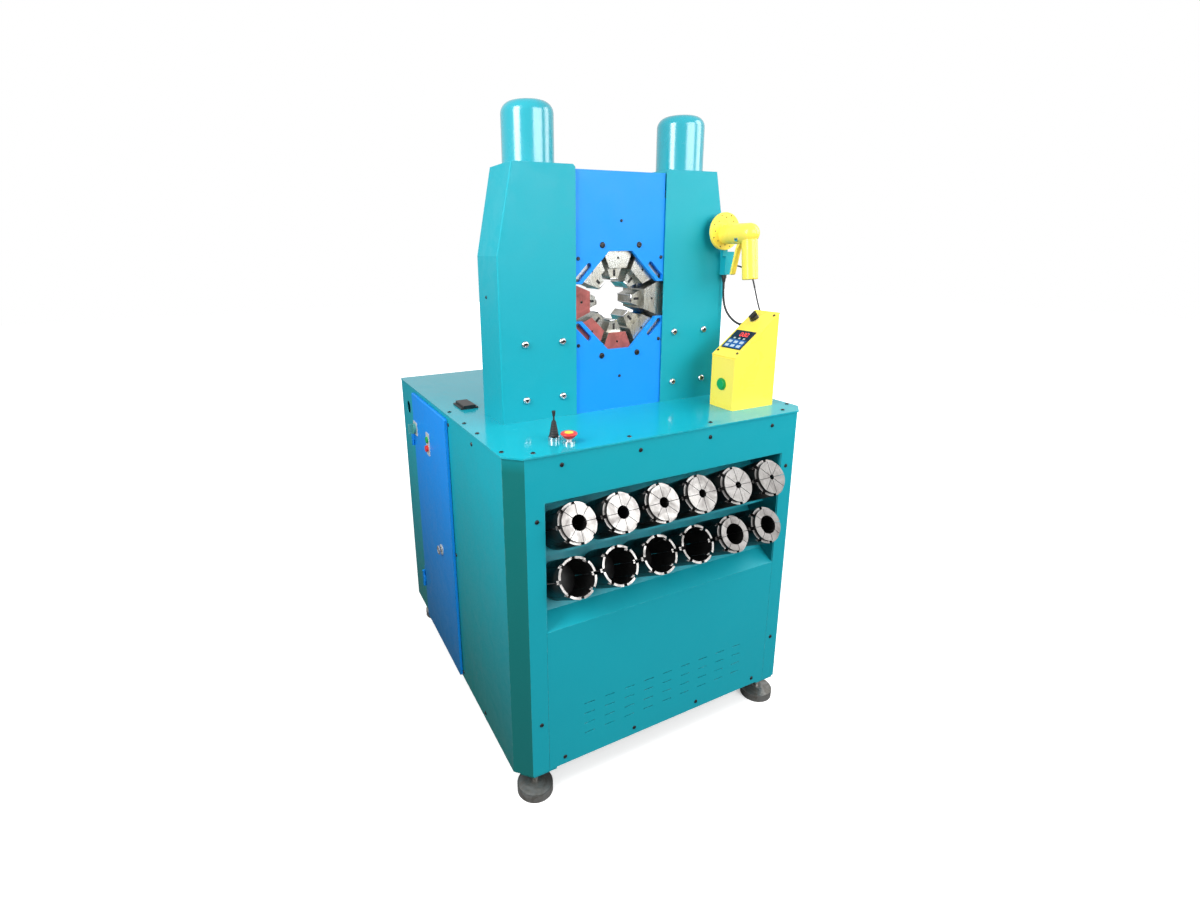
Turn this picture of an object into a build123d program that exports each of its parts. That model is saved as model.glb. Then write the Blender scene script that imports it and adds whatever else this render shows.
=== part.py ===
"""Hose crimping machine: a sheet-metal cabinet that carries a two-saddle crimp head.

Frame: origin on the floor under the middle of the cabinet, +X right, +Y to the
back, +Z up, millimetres.  The operator stands on the -Y side and the hose passes
through the head along Y.

Eight master dies stand round the crimp axis.  The bottom die is fixed to the lower
saddle and the top die to the upper saddle.  When the upper saddle comes down by s,
the crimp axis comes down by s/2 and every die closes on it by s/2: the diagonal dies
slide on 22.5 degree faces and the side dies on 45 degree faces of the saddles.
"""
import os
from math import cos, radians, sin, sqrt, tan

from build123d import *

os.makedirs("parts", exist_ok=True)

# ---------------------------------------------------------------- cabinet sizes
table_w = 900.0            # top plate, X
table_d = 1000.0           # top plate, Y
table_z = 937.0            # working surface above the floor
top_t = 4.0                # top plate thickness
overhang = 3.0             # top plate beyond the panels
corner_cut = 38.0          # 45 degree cut on the two front corners
sheet_t = 2.0              # cabinet sheet
body_z = 86.0              # underside of the cabinet panels
seam = 0.5                 # gap between neighbouring panels

tube = 40.0                # square tube of the welded base frame
beam_h = 80.0              # beams that carry the head
beam_w = 50.0
tank_rail_y = (90.0, 330.0) # cross rails under the oil tank
foot_x = table_w / 2 - 64.0    # levelling feet
foot_y = table_d / 2 - 46.0
foot_r = 47.0
foot_rim_h = 22.0
foot_cone_h = 8.0
foot_neck_r = 16.0
stud_r = 8.0
foot_plate = 90.0
foot_plate_t = 8.0
nut_h = 10.0
nut_af = 24.0

window_x = 363.0           # half width of the opening in the front surround
window_top = 822.0
ledge_low_z = 488.0        # where the front panel bends back under the rack
vent_cols = 9
vent_rows = 4
vent_pitch_x = 61.5
vent_pitch_z = 30.0
vent_len = 30.0
vent_h = 2.6
vent_top_z = 246.0

screw_r = 5.5              # black button-head screws of the panels
screw_h = 2.6

# ---------------------------------------------------------------- die rack and stored die sets
rack_tilt = 30.0           # how far the strips lean back from upright
set_len = 125.0
set_r = 49.5
set_disc_r = 43.5          # the disc that stands proud inside the ring
set_disc_h = 9.0
set_ring_h = 14.0          # front ring with the spring gaps
set_pitch = 117.5
set_front_y = -526.0
set_upper_z = 771.6
set_row_drop = 138.9
strip_half = 56.0          # lower end of the upper strip, below the sets' middle
ledge_drop = 63.0          # lower end of the lower strip, below the sets' middle
set_split = 1.4            # gap between neighbouring segments
set_segments = 8
spring_gap_w = 9.0
spring_gap_d = 5.0
upper_bores = (19.0, 16.0, 13.5, 11.0, 9.0, 7.0)        # radii, left to right
lower_bores = (44.0, 44.0, 44.0, 44.0, 28.0, 25.0)
spigot_h = 9.0
spigot_r = 34.8
spigot_fit = 0.3           # spigot to set, radial and end
ring_set_r = 40.0          # a bore wider than this takes a spigot of its own

# ---------------------------------------------------------------- crimp head
head_z = 1235.0            # crimp axis above the floor, as drawn
saddle_front_y = -218.0
saddle_back_y = -106.0
die_side_gap = 2.0         # die end to retaining plate
plate_t = 12.0             # blue retaining plates
saddle_x = 295.0           # half width of the saddles
rod_x = 232.0              # columns and cylinders
rod_y = (saddle_front_y + saddle_back_y) / 2
rod_r = 26.0
rod_fit = 0.08
lobe_gap = 24.0            # half gap between the saddles at the columns
upper_lobe_z = 1520.0
upper_mid_z = 1560.0
upper_mid_x = 134.0

die_back = 140.0           # back of the top and bottom dies from the crimp axis
die_in_closed = 66.0       # face of the master dies when closed
close_travel = 20.0        # each die, from the drawn pose to closed
open_travel = 20.0         # each die, from the drawn pose to fully open
die_play = 0.5             # side to side between neighbours, closed
slide_gap = 0.3            # die back to saddle face
wedge = 222.0              # |x| + |z| of the 45 degree saddle faces
side_back_x = 182.0        # flat back of the side dies
insert_in_closed = 35.0    # face of the crimping inserts when closed
insert_len = 70.0
insert_step = 4.0          # narrower than its die, each side
insert_chamfer = 3.0
die_hole_r = 3.4
t8 = tan(radians(22.5))

plate_flat_x = 36.0        # octagonal window: half width of its top edge
plate_flat_z = 130.0       # and its height above the crimp axis
plate_gap = 48.0           # half gap between the two plates at their sides
plate_x = 150.0            # half width of the plates
plate_slot_sum = 190.0     # |x| + |z| of the slots' centre lines
plate_slot_x = 113.0
plate_slot_len = 62.0
plate_slot_w = 15.0
plate_bolts = ((0.0, 206.0, 4.0), (57.0, 145.0, 8.0), (129.0, 112.0, 5.0))  # x, z, head radius
plate_bolt_h = 3.0

barrel_r = 65.0
barrel_bore_r = 52.0
barrel_top_z = 1716.0
barrel_dome_r = 28.0
barrel_cap_t = 14.0
piston_h = 46.0
piston_z = 1603.0
piston_fit = 0.1
rod_foot_z = 1010.0

cover_x = 353.0            # outer half width of the side covers
cover_in_x = 138.0
cover_front_y = -235.0
cover_back_y = -84.0
cover_kink_z = 1357.0
cover_top_x = 309.0
cover_top_z = 1572.0
cover_t = 2.5
cover_rear_cut = 14.0
cover_hole_gap = 2.5
cover_bolt_x = (179.0, 285.0)
cover_bolt_z = (993.5, 1139.0)
cover_bolt_r = 10.0
cover_bolt_h = 6.0
spacer_r = 9.0

# ---------------------------------------------------------------- electrical door
door_y0 = -55.0
door_y1 = 320.0
door_z0 = 92.0
door_z1 = 922.0
door_gap = 1.5             # pan edge to side panel
door_d = 8.0               # depth of the pan
door_t = 2.0
hinge_z = (240.0, 770.0)
hinge_len = 60.0
hinge_r = 5.0
hinge_pin_r = 2.5
hinge_fit = 0.08
hinge_out = 4.0            # pin axis beyond the pan's outer face
hinge_back = 4.0           # pin axis behind the pan's edge
bay_inset = 22.0           # opening in the side panel, inside the door's edge
bay_x = -250.0             # back of the electrical enclosure
lock_y = 64.0
lock_z = 472.0
lock_r = 15.0
switch_y = 292.0
switch_z = 806.0
station_y = 140.0
station_z = 795.0
inlet_y = 412.0            # cable inlet in the left panel
inlet_z = 850.0
inlet_r = 22.5

# ---------------------------------------------------------------- things on the table
joy_x, joy_y = 156.0 - table_w / 2, 89.0 - table_d / 2
estop_x, estop_y = 177.0 - table_w / 2, 53.0 - table_d / 2
connector_x, connector_y = 75.0 - table_w / 2, 0.0
cbox_x0, cbox_x1 = 247.0, 397.0
cbox_y0, cbox_y1 = -417.0, -323.0
cbox_low_z = 1083.0
cbox_high_z = 1197.0
cbox_t = 2.0
lid_t = 3.0
tool_x, tool_z = 321.0, 1414.0
tool_face_y = -268.0
tool_disc_r = 51.0
tool_disc_t = 10.0
tool_body_z = 1406.0
tool_body_r = 27.0
tool_grip_r = 21.0
tool_grip_high = (-360.0, tool_body_z)    # the grip's axis, Y and Z
tool_grip_low = (-374.0, 1286.0)
tool_pin_r = 4.0
tool_pin_fit = 0.08
tool_pin_pcr = 34.0
cradle_t = 6.0
cradle_gap = 0.3

# ---------------------------------------------------------------- derived places
panel_x = table_w / 2 - overhang
panel_y = table_d / 2 - overhang
panel_top = table_z - top_t
frame_front = -(panel_y - sheet_t)
frame_side = panel_x - sheet_t
die_front_y = saddle_front_y + die_side_gap
die_back_y = saddle_back_y - die_side_gap
door_face_x = -(panel_x + door_gap + door_d)
hinge_x = door_face_x - hinge_out
hinge_y = door_y1 + hinge_back
cos_t, sin_t = cos(radians(rack_tilt)), sin(radians(rack_tilt))
cbox_y = (cbox_y0 + cbox_y1) / 2
slope_len = sqrt((cbox_x1 - cbox_x0) ** 2 + (cbox_high_z - cbox_low_z) ** 2)
slope_plane = Plane(origin=(cbox_x0, cbox_y, cbox_low_z),
                    x_dir=(cbox_x1 - cbox_x0, 0, cbox_high_z - cbox_low_z),
                    z_dir=(-(cbox_high_z - cbox_low_z), 0, cbox_x1 - cbox_x0))


# ---------------------------------------------------------------- helpers
def block(x, y, z, mode=Mode.ADD):
    """A box that spans the pairs x, y and z."""
    with Locations(((x[0] + x[1]) / 2, (y[0] + y[1]) / 2, (z[0] + z[1]) / 2)):
        Box(x[1] - x[0], y[1] - y[0], z[1] - z[0], mode=mode)


def prism(plane, points, length, mode=Mode.ADD):
    """A straight prism from a closed outline on a plane."""
    with BuildSketch(plane) as outline:
        with BuildLine():
            Polyline(*points, close=True)
        make_face()
    extrude(outline.sketch, amount=length, mode=mode)


def prism_y(points, y, mode=Mode.ADD):
    """A prism along Y from an outline of (x, z) points."""
    prism(Plane.XZ.offset(-y[1]), points, y[1] - y[0], mode)


def prism_x(points, x, mode=Mode.ADD):
    """A prism along X from an outline of (y, z) points."""
    prism(Plane.YZ.offset(x[0]), points, x[1] - x[0], mode)


def rod(start, direction, length, radius, mode=Mode.ADD):
    """A round bar from a start point along a direction."""
    with Locations(Plane(origin=start, z_dir=direction)):
        Cylinder(radius, length, align=(Align.CENTER, Align.CENTER, Align.MIN), mode=mode)


def save(builder, label):
    """Label a finished piece and write it."""
    builder.part.label = label
    export_step(builder.part, f"parts/{label}.step")


# ================================================================ cabinet
stop_room = 17.0          # notch in the front rail for the emergency stop
rail_low = (body_z, body_z + tube)
rail_high = (panel_top - tube, panel_top)
post_x = (foot_x - tube / 2, foot_x + tube / 2)
post_y = (-frame_front - tube, -frame_front)
side_x = (frame_side - tube, frame_side)
door_post_y = ((door_y0 - 18, door_y0 - 18 + tube), (door_y1 + 22, door_y1 + 22 + tube))
beam_gap = (saddle_back_y - saddle_front_y - 2 * beam_w) / 3
plate_cut = corner_cut + 3 * sheet_t    # keeps the foot plates behind the cut corners

with BuildPart() as base_frame:
    for z in (rail_low, rail_high):
        for sy in (-1, 1):
            block((-post_x[1], post_x[1]), sorted((sy * post_y[0], sy * post_y[1])), z)
        for sx in (-1, 1):
            block(sorted((sx * side_x[0], sx * side_x[1])), (-post_y[0] - 4, post_y[1]), z)
    for sx in (-1, 1):
        for sy in (-1, 1):
            block(sorted((sx * post_x[0], sx * post_x[1])), sorted((sy * post_y[0], sy * post_y[1])),
                  (rail_low[1], rail_high[0]))
            with Locations((sx * foot_x, sy * foot_y, body_z - foot_plate_t / 2)):
                Box(foot_plate, foot_plate - 10, foot_plate_t)
                Cylinder(stud_r + 0.1, foot_plate_t * 2, mode=Mode.SUBTRACT)
        for y in door_post_y:
            block(sorted((sx * side_x[0], sx * side_x[1])), y, (rail_low[1], rail_high[0]))
    for y0 in (saddle_front_y + beam_gap, saddle_back_y - beam_gap - beam_w):
        block((-side_x[0], side_x[0]), (y0, y0 + beam_w), (panel_top - beam_h, panel_top))
    for sx in (-1, 1):
        for y0 in (saddle_front_y + beam_gap, saddle_back_y - beam_gap - beam_w):
            block(sorted((sx * (side_x[0] - beam_w), sx * side_x[0])), (y0, y0 + beam_w),
                  (rail_low[0], panel_top - beam_h))
        block(sorted((sx * (side_x[0] - beam_w), sx * side_x[1])),
              (saddle_front_y + beam_gap, saddle_back_y - beam_gap), rail_low)
    for y0 in (tank_rail_y[0], tank_rail_y[1]):
        block((-side_x[0], side_x[0]), (y0, y0 + tube), rail_low)
    for sx in (-1, 1):
        prism(Plane.XY.offset(body_z - foot_plate_t - 1),
              [(sx * panel_x, -panel_y), (sx * panel_x, plate_cut - panel_y), (sx * (panel_x - plate_cut), -panel_y)],
              foot_plate_t + 1, Mode.SUBTRACT)
    block((estop_x - stop_room, estop_x + stop_room), (estop_y - stop_room, estop_y + tube), rail_high,
          mode=Mode.SUBTRACT)
save(base_frame, "base_frame")

with BuildPart() as levelling_feet:
    for sx in (-1, 1):
        for sy in (-1, 1):
            with Locations((sx * foot_x, sy * foot_y, 0)):
                Cylinder(foot_r, foot_rim_h, align=(Align.CENTER, Align.CENTER, Align.MIN))
            with Locations((sx * foot_x, sy * foot_y, foot_rim_h)):
                Cone(foot_r - 3, foot_neck_r, foot_cone_h, align=(Align.CENTER, Align.CENTER, Align.MIN))
            rod((sx * foot_x, sy * foot_y, foot_rim_h), (0, 0, 1), body_z - foot_rim_h, stud_r)
            with BuildSketch(Plane.XY.offset(body_z - foot_plate_t - nut_h)):
                with Locations((sx * foot_x, sy * foot_y)):
                    RegularPolygon(nut_af / 2, 6, major_radius=False)
            extrude(amount=nut_h)
save(levelling_feet, "levelling_feet")

surround = [(-panel_x, -panel_y + corner_cut), (-panel_x + corner_cut, -panel_y),
            (panel_x - corner_cut, -panel_y), (panel_x, -panel_y + corner_cut)]
with BuildPart() as front_surround:
    with BuildSketch(Plane.XY.offset(body_z)):
        with BuildLine():
            Polyline(*surround, (panel_x - sheet_t, -panel_y + corner_cut),
                     (panel_x - corner_cut - sheet_t * t8, -panel_y + sheet_t),
                     (-panel_x + corner_cut + sheet_t * t8, -panel_y + sheet_t),
                     (-panel_x + sheet_t, -panel_y + corner_cut), close=True)
        make_face()
    extrude(amount=panel_top - body_z)
    block((-window_x, window_x), (-panel_y - 1, -panel_y + sheet_t + 1), (body_z - 1, window_top),
          mode=Mode.SUBTRACT)
save(front_surround, "front_surround")

def strip_point(row_z, up):
    """A point on a rack strip, measured up the strip from its middle."""
    base_y = set_front_y + set_len * cos_t
    base_z = row_z - set_len * sin_t
    return (base_y + up * sin_t, base_z + up * cos_t)


set_lower_z = set_upper_z - set_row_drop
ledge_back_y, ledge_back_z = strip_point(set_lower_z, -ledge_drop)
panel_half = window_x - seam
ledge_dir = (ledge_back_y + panel_y, ledge_back_z - ledge_low_z)
ledge_len = sqrt(ledge_dir[0] ** 2 + ledge_dir[1] ** 2)
ledge_n = (-ledge_dir[1] / ledge_len, ledge_dir[0] / ledge_len)
with BuildPart() as front_panel:
    prism_x([(-panel_y, body_z + seam), (-panel_y, ledge_low_z), (ledge_back_y, ledge_back_z),
             (ledge_back_y - ledge_n[0] * sheet_t, ledge_back_z - ledge_n[1] * sheet_t),
             (-panel_y + sheet_t, ledge_low_z - sheet_t * 0.6), (-panel_y + sheet_t, body_z + seam)],
            (-panel_half, panel_half))
    with Locations((0, -panel_y + sheet_t / 2, vent_top_z - vent_pitch_z * (vent_rows - 1) / 2)):
        with GridLocations(vent_pitch_x, 0, vent_cols, 1):
            for row in range(vent_rows):
                with Locations((0, 0, vent_pitch_z * (row - (vent_rows - 1) / 2))):
                    Box(vent_len, sheet_t * 3, vent_h, mode=Mode.SUBTRACT)
save(front_panel, "front_panel")


rack_t = sheet_t
up_top = (window_top - strip_point(set_upper_z, 0)[1]) / cos_t
zigzag = [(-panel_y + sheet_t, window_top), strip_point(set_upper_z, up_top),
          strip_point(set_upper_z, -strip_half),
          strip_point(set_lower_z, set_row_drop * cos_t - strip_half),
          (ledge_back_y, ledge_back_z)]
outer = [(-panel_y + sheet_t, window_top + rack_t),
         (zigzag[1][0] + rack_t * 2, window_top + rack_t),
         (zigzag[2][0] + rack_t * 1.6, zigzag[2][1] + rack_t * 0.6),
         (zigzag[3][0] + rack_t * 1.6, zigzag[3][1] + rack_t * 0.3),
         (ledge_back_y + rack_t * 1.2, ledge_back_z)]
with BuildPart() as die_rack:
    prism_x(zigzag + outer[::-1], (-panel_half, panel_half))
    cheek = zigzag + [(-panel_y + sheet_t, ledge_low_z + sheet_t)]
    for x0 in (-panel_half, panel_half - rack_t):
        prism_x(cheek, (x0, x0 + rack_t))
    for row_z, bores in ((set_upper_z, upper_bores), (set_lower_z, lower_bores)):
        for index, bore in enumerate(bores):
            x = (index - (len(bores) - 1) / 2) * set_pitch
            y, z = strip_point(row_z, 0)
            radius = bore - spigot_fit if bore > ring_set_r else spigot_r
            rod((x, y, z), (0, -cos_t, sin_t), spigot_h, radius)
save(die_rack, "die_rack")


def sector(inner, outer, split, z0, z1):
    """One of eight equal ring sectors about +Z, parted from its neighbours by a split."""
    half = 180 / set_segments
    tip = split / 2 / sin(radians(half))
    far = 2 * outer
    with BuildSketch(Plane.XY.offset(z0)) as face:
        Circle(outer)
        Circle(inner, mode=Mode.SUBTRACT)
        with BuildLine():
            Polyline((tip, 0), (far, (far - tip) * tan(radians(half))),
                     (far, -(far - tip) * tan(radians(half))), close=True)
        make_face(mode=Mode.INTERSECT)
    extrude(face.sketch, amount=z1 - z0)


def segment(bore):
    """One segment of a stored set, back end at z = 0."""
    with BuildPart() as piece:
        if bore > ring_set_r:
            sector(bore, set_r, set_split, 0, set_len - set_ring_h)
            sector(bore, set_r, spring_gap_w, set_len - set_ring_h, set_len)
        else:
            seat = spigot_h + spigot_fit
            sector(spigot_r + spigot_fit, set_r, set_split, 0, seat)
            sector(bore, set_r, set_split, seat, set_len - set_ring_h)
            sector(bore, set_disc_r, set_split, set_len - set_ring_h, set_len + set_disc_h)
            sector(set_disc_r - 1, set_r, spring_gap_w, set_len - set_ring_h, set_len)
    return piece.part


for label, row_z, bores in (("die_sets_upper", set_upper_z, upper_bores),
                            ("die_sets_lower", set_lower_z, lower_bores)):
    with BuildPart() as die_sets:
        for index, bore in enumerate(bores):
            x = (index - (len(bores) - 1) / 2) * set_pitch
            back_y, back_z = strip_point(row_z, 0)
            place = Plane(origin=(x, back_y, back_z), x_dir=(1, 0, 0), z_dir=(0, -cos_t, sin_t))
            piece = segment(bore)
            with Locations(place):
                with PolarLocations(0, set_segments, start_angle=180 / set_segments):
                    add(piece)
    save(die_sets, label)


# ================================================================ panels
bay_y = (door_y0 + 75, door_y1 - 18)
bay_z = (door_z0 + bay_inset, door_z1 - bay_inset)
side_panel_y = (-panel_y + corner_cut, panel_y)

with BuildPart() as left_side_panel:
    block((-panel_x, -frame_side), side_panel_y, (body_z, panel_top))
    block((-panel_x - 1, -frame_side + 1), bay_y, bay_z, mode=Mode.SUBTRACT)
    rod((-panel_x - 1, inlet_y, inlet_z), (1, 0, 0), sheet_t + 2, inlet_r, mode=Mode.SUBTRACT)
save(left_side_panel, "left_side_panel")

with BuildPart() as right_side_panel:
    block((frame_side, panel_x), side_panel_y, (body_z, panel_top))
save(right_side_panel, "right_side_panel")

with BuildPart() as rear_panel:
    block((-frame_side, frame_side), (panel_y - sheet_t, panel_y), (body_z, panel_top))
    with Locations((0, panel_y, (body_z + panel_top) / 2)):
        with GridLocations(2 * vent_pitch_x, 0, 5, 1):
            for row in range(-2, 3):
                with Locations((0, 0, row * 2 * vent_pitch_z)):
                    Box(2 * vent_len, 4 * sheet_t, 2 * vent_h, mode=Mode.SUBTRACT)
save(rear_panel, "rear_panel")

head_cut = (saddle_x + 3, saddle_front_y - 2, saddle_back_y + 2)
shank_r = 11.0
with BuildPart() as top_plate:
    half_w, half_d, cut = table_w / 2, table_d / 2, corner_cut + overhang * t8
    with BuildSketch(Plane.XY.offset(panel_top)):
        with BuildLine():
            Polyline((-half_w, half_d), (-half_w, -half_d + cut), (-half_w + cut, -half_d),
                     (half_w - cut, -half_d), (half_w, -half_d + cut), (half_w, half_d), close=True)
        make_face()
        with Locations((0, (head_cut[1] + head_cut[2]) / 2)):
            Rectangle(2 * head_cut[0], head_cut[2] - head_cut[1], mode=Mode.SUBTRACT)
        with Locations((joy_x, joy_y), (estop_x, estop_y)):
            Circle(shank_r + 0.2, mode=Mode.SUBTRACT)
    extrude(amount=top_t)
    fillet(top_plate.edges().filter_by(Axis.Z).group_by(Axis.Y)[-1], 12)
save(top_plate, "top_plate")

top_screw_x = table_w / 2 - 14
screw_pitch = (panel_x - corner_cut) * 0.259
low_screw_z, mid_screw_z, high_screw_z = body_z + 22, (body_z + panel_top) / 2, panel_top - 26
with BuildPart() as panel_screws:
    for x in (-3 * screw_pitch, -screw_pitch, screw_pitch, 3 * screw_pitch):
        for z in (high_screw_z, low_screw_z):
            rod((x, -panel_y, z), (0, -1, 0), screw_h, screw_r)
    for sx in (-1, 1):
        for z in (232, 781):
            rod((sx * (window_x + 19), -panel_y, z), (0, -1, 0), screw_h, screw_r)
        for y in (67 - table_d / 2, -272, -171, -42):
            rod((sx * top_screw_x, y, table_z), (0, 0, 1), screw_h, screw_r)
        for x in (124, 377):
            rod((sx * x, 26 - table_d / 2, table_z), (0, 0, 1), screw_h, screw_r)
        for y in (door_y0 - 7, door_y0 - 203):
            for z in (high_screw_z, low_screw_z) if y < -100 else (high_screw_z, mid_screw_z, low_screw_z):
                rod((sx * panel_x, y, z), (sx, 0, 0), screw_h, screw_r)
        for z in (low_screw_z, mid_screw_z, high_screw_z):
            rod((sx * foot_x, panel_y, z), (0, 1, 0), screw_h, screw_r)
save(panel_screws, "panel_screws")

# ---------------------------------------------------------------- electrical bay
enclosure_y = (door_post_y[0][1], door_post_y[1][0])
enclosure_z = (body_z + 44, panel_top - 43)
enclosure_x = (-frame_side + 15, bay_x)
with BuildPart() as electrical_enclosure:
    block(enclosure_x, enclosure_y, enclosure_z)
    block((enclosure_x[0] - 1, enclosure_x[1] - sheet_t), (enclosure_y[0] + sheet_t, enclosure_y[1] - sheet_t),
          (enclosure_z[0] + sheet_t, enclosure_z[1] - sheet_t), mode=Mode.SUBTRACT)
save(electrical_enclosure, "electrical_enclosure")

plate_face_x = enclosure_x[1] - sheet_t - 3
rail_depth = 8.0
with BuildPart() as electrical_components:
    block((plate_face_x, enclosure_x[1] - sheet_t), (enclosure_y[0] + 20, enclosure_y[1] - 20),
          (enclosure_z[0] + 20, enclosure_z[1] - 20))
    for z in (250, 430, 610, 780):
        block((plate_face_x - rail_depth, plate_face_x), (enclosure_y[0] + 40, enclosure_y[1] - 40), (z - 17, z + 17))
    face = plate_face_x - rail_depth
    for y0, width, z, height, depth in ((30, 54, 780, 90, 70), (100, 72, 780, 110, 90), (190, 90, 780, 100, 80),
                                        (30, 130, 610, 100, 60), (180, 90, 610, 120, 100),
                                        (30, 46, 430, 86, 80), (86, 46, 430, 86, 80), (160, 110, 430, 120, 90),
                                        (30, 240, 250, 50, 40)):
        block((face - depth, face), (y0, y0 + width), (z - height / 2, z + height / 2))
save(electrical_components, "electrical_components")

# ---------------------------------------------------------------- door and what it carries
pan_x = (door_face_x, door_face_x + door_d)
button_r = 10.0
button_pitch = 28.0
button_fit = 0.08
button_hole_gap = 0.5
label_t = 2.0
switch_plate = 46.0
switch_shaft_r = 5.0
contact_d = 26.0
with BuildPart() as electrical_door:
    block(pan_x, (door_y0, door_y1), (door_z0, door_z1))
    fillet(electrical_door.edges().filter_by(Axis.X), 6)
    fillet(electrical_door.faces().sort_by(Axis.X)[0].edges(), 2.5)
    block((pan_x[0] + door_t, pan_x[1] + 1), (door_y0 + door_t, door_y1 - door_t),
          (door_z0 + door_t, door_z1 - door_t), mode=Mode.SUBTRACT)
    rod((pan_x[0] - 1, lock_y, lock_z), (1, 0, 0), 6, lock_r - 3, mode=Mode.SUBTRACT)
    rod((pan_x[0] - 1, switch_y, switch_z), (1, 0, 0), 6, switch_shaft_r + 1, mode=Mode.SUBTRACT)
    for dz in (-button_pitch / 2, button_pitch / 2):
        rod((pan_x[0] - 1, station_y, station_z + dz), (1, 0, 0), 6, button_r + button_hole_gap, mode=Mode.SUBTRACT)
    for z in hinge_z:
        rod((hinge_x, hinge_y, z - hinge_len / 6), (0, 0, 1), hinge_len / 3, hinge_r)
        block((hinge_x - 1.5, hinge_x + hinge_r), (door_y1 - 4, hinge_y), (z - hinge_len / 6, z + hinge_len / 6))
        rod((hinge_x, hinge_y, z - hinge_len / 2), (0, 0, 1), hinge_len, hinge_pin_r + hinge_fit, mode=Mode.SUBTRACT)
save(electrical_door, "electrical_door")

leaf_t = 2.5
knuckle_gap = 0.4
with BuildPart() as door_hinges:
    for z in hinge_z:
        for side in (-1, 1):
            z0 = z + side * hinge_len / 3 - hinge_len / 6 + knuckle_gap / 2
            rod((hinge_x, hinge_y, z0), (0, 0, 1), hinge_len / 3 - knuckle_gap, hinge_r)
            block((hinge_x, -panel_x), (hinge_y + hinge_r - leaf_t, hinge_y + hinge_r), (z0, z0 + hinge_len / 3 - knuckle_gap))
        block((-panel_x - leaf_t, -panel_x), (hinge_y + hinge_r - leaf_t, hinge_y + hinge_r + 26),
              (z - hinge_len / 2 + knuckle_gap / 2, z + hinge_len / 2 - knuckle_gap / 2))
        rod((hinge_x, hinge_y, z - hinge_len / 2), (0, 0, 1), hinge_len, hinge_pin_r)
save(door_hinges, "door_hinges")

behind_door = pan_x[0] + door_t
with BuildPart() as housing:
    rod((pan_x[0] - 2, lock_y, lock_z), (1, 0, 0), 2, lock_r + 1.5)
    rod((pan_x[0], lock_y, lock_z), (1, 0, 0), 14, lock_r - 3.2)
    rod((pan_x[0] - 3, lock_y, lock_z), (1, 0, 0), 30, 8.0, mode=Mode.SUBTRACT)

with BuildPart() as switch:
    block((pan_x[0] - label_t, pan_x[0]), (switch_y - switch_plate / 2, switch_y + switch_plate / 2),
          (switch_z - switch_plate / 2, switch_z + switch_plate / 2))
    fillet(switch.edges().filter_by(Axis.X), 4)
    rod((pan_x[0] - 4, switch_y, switch_z), (1, 0, 0), 6, switch_shaft_r + button_fit, mode=Mode.SUBTRACT)

with BuildPart() as station:
    block((pan_x[0] - label_t, pan_x[0]), (station_y - 17, station_y + 17), (station_z - 36, station_z + 36))
    fillet(station.edges().filter_by(Axis.X), 3)
    for dz in (-button_pitch / 2, button_pitch / 2):
        rod((pan_x[0] - 4, station_y, station_z + dz), (1, 0, 0), 6, button_r + button_fit, mode=Mode.SUBTRACT)

with BuildPart() as contacts:
    block((behind_door, behind_door + contact_d), (station_y - 17, station_y + 17), (station_z - 30, station_z + 30))
    for dz in (-button_pitch / 2, button_pitch / 2):
        rod((behind_door - 1, station_y, station_z + dz), (1, 0, 0), 12, button_r + button_hole_gap,
            mode=Mode.SUBTRACT)

with BuildPart() as breaker:
    block((behind_door, behind_door + 50), (switch_y - 28, switch_y + 4), (switch_z - 30, switch_z + 30))
    rod((behind_door - 1, switch_y, switch_z), (1, 0, 0), 21, switch_shaft_r + button_hole_gap, mode=Mode.SUBTRACT)

with BuildPart() as door_fittings:
    for piece in (housing, switch, station, contacts, breaker):
        add(piece.part)
save(door_fittings, "door_fittings")

lock_fit = 0.08
tongue_len = 58.0
with BuildPart() as door_lock:
    rod((pan_x[0] - 3.5, lock_y, lock_z), (1, 0, 0), 21, 8.0 - lock_fit)
    block((pan_x[0] - 4, pan_x[0] - 2.2), (lock_y - 1.2, lock_y + 1.2), (lock_z - 6, lock_z + 6), mode=Mode.SUBTRACT)
    block((pan_x[0] + 14.2, pan_x[0] + 17.5), (lock_y - 9, lock_y + 9), (lock_z - 9, lock_z + tongue_len))
save(door_lock, "door_lock")

with BuildPart() as main_switch_knob:
    rod((pan_x[0] - label_t - 8.2, switch_y, switch_z), (1, 0, 0), 8, 17.0)
    block((pan_x[0] - label_t - 22, pan_x[0] - label_t - 8), (switch_y - 5, switch_y + 5), (switch_z - 16, switch_z + 16))
    rod((pan_x[0] - label_t - 2, switch_y, switch_z), (1, 0, 0), 18, switch_shaft_r)
    fillet(main_switch_knob.faces().sort_by(Axis.X)[0].edges(), 2)
save(main_switch_knob, "main_switch_knob")

for label, dz, proud in (("start_button", button_pitch / 2, 5.0), ("stop_button", -button_pitch / 2, 8.0)):
    with BuildPart() as button:
        rod((pan_x[0] - label_t - proud, station_y, station_z + dz), (1, 0, 0), proud + label_t + door_t + 4, button_r)
        fillet(button.faces().sort_by(Axis.X)[0].edges(), 1.2)
    save(button, label)

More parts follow.
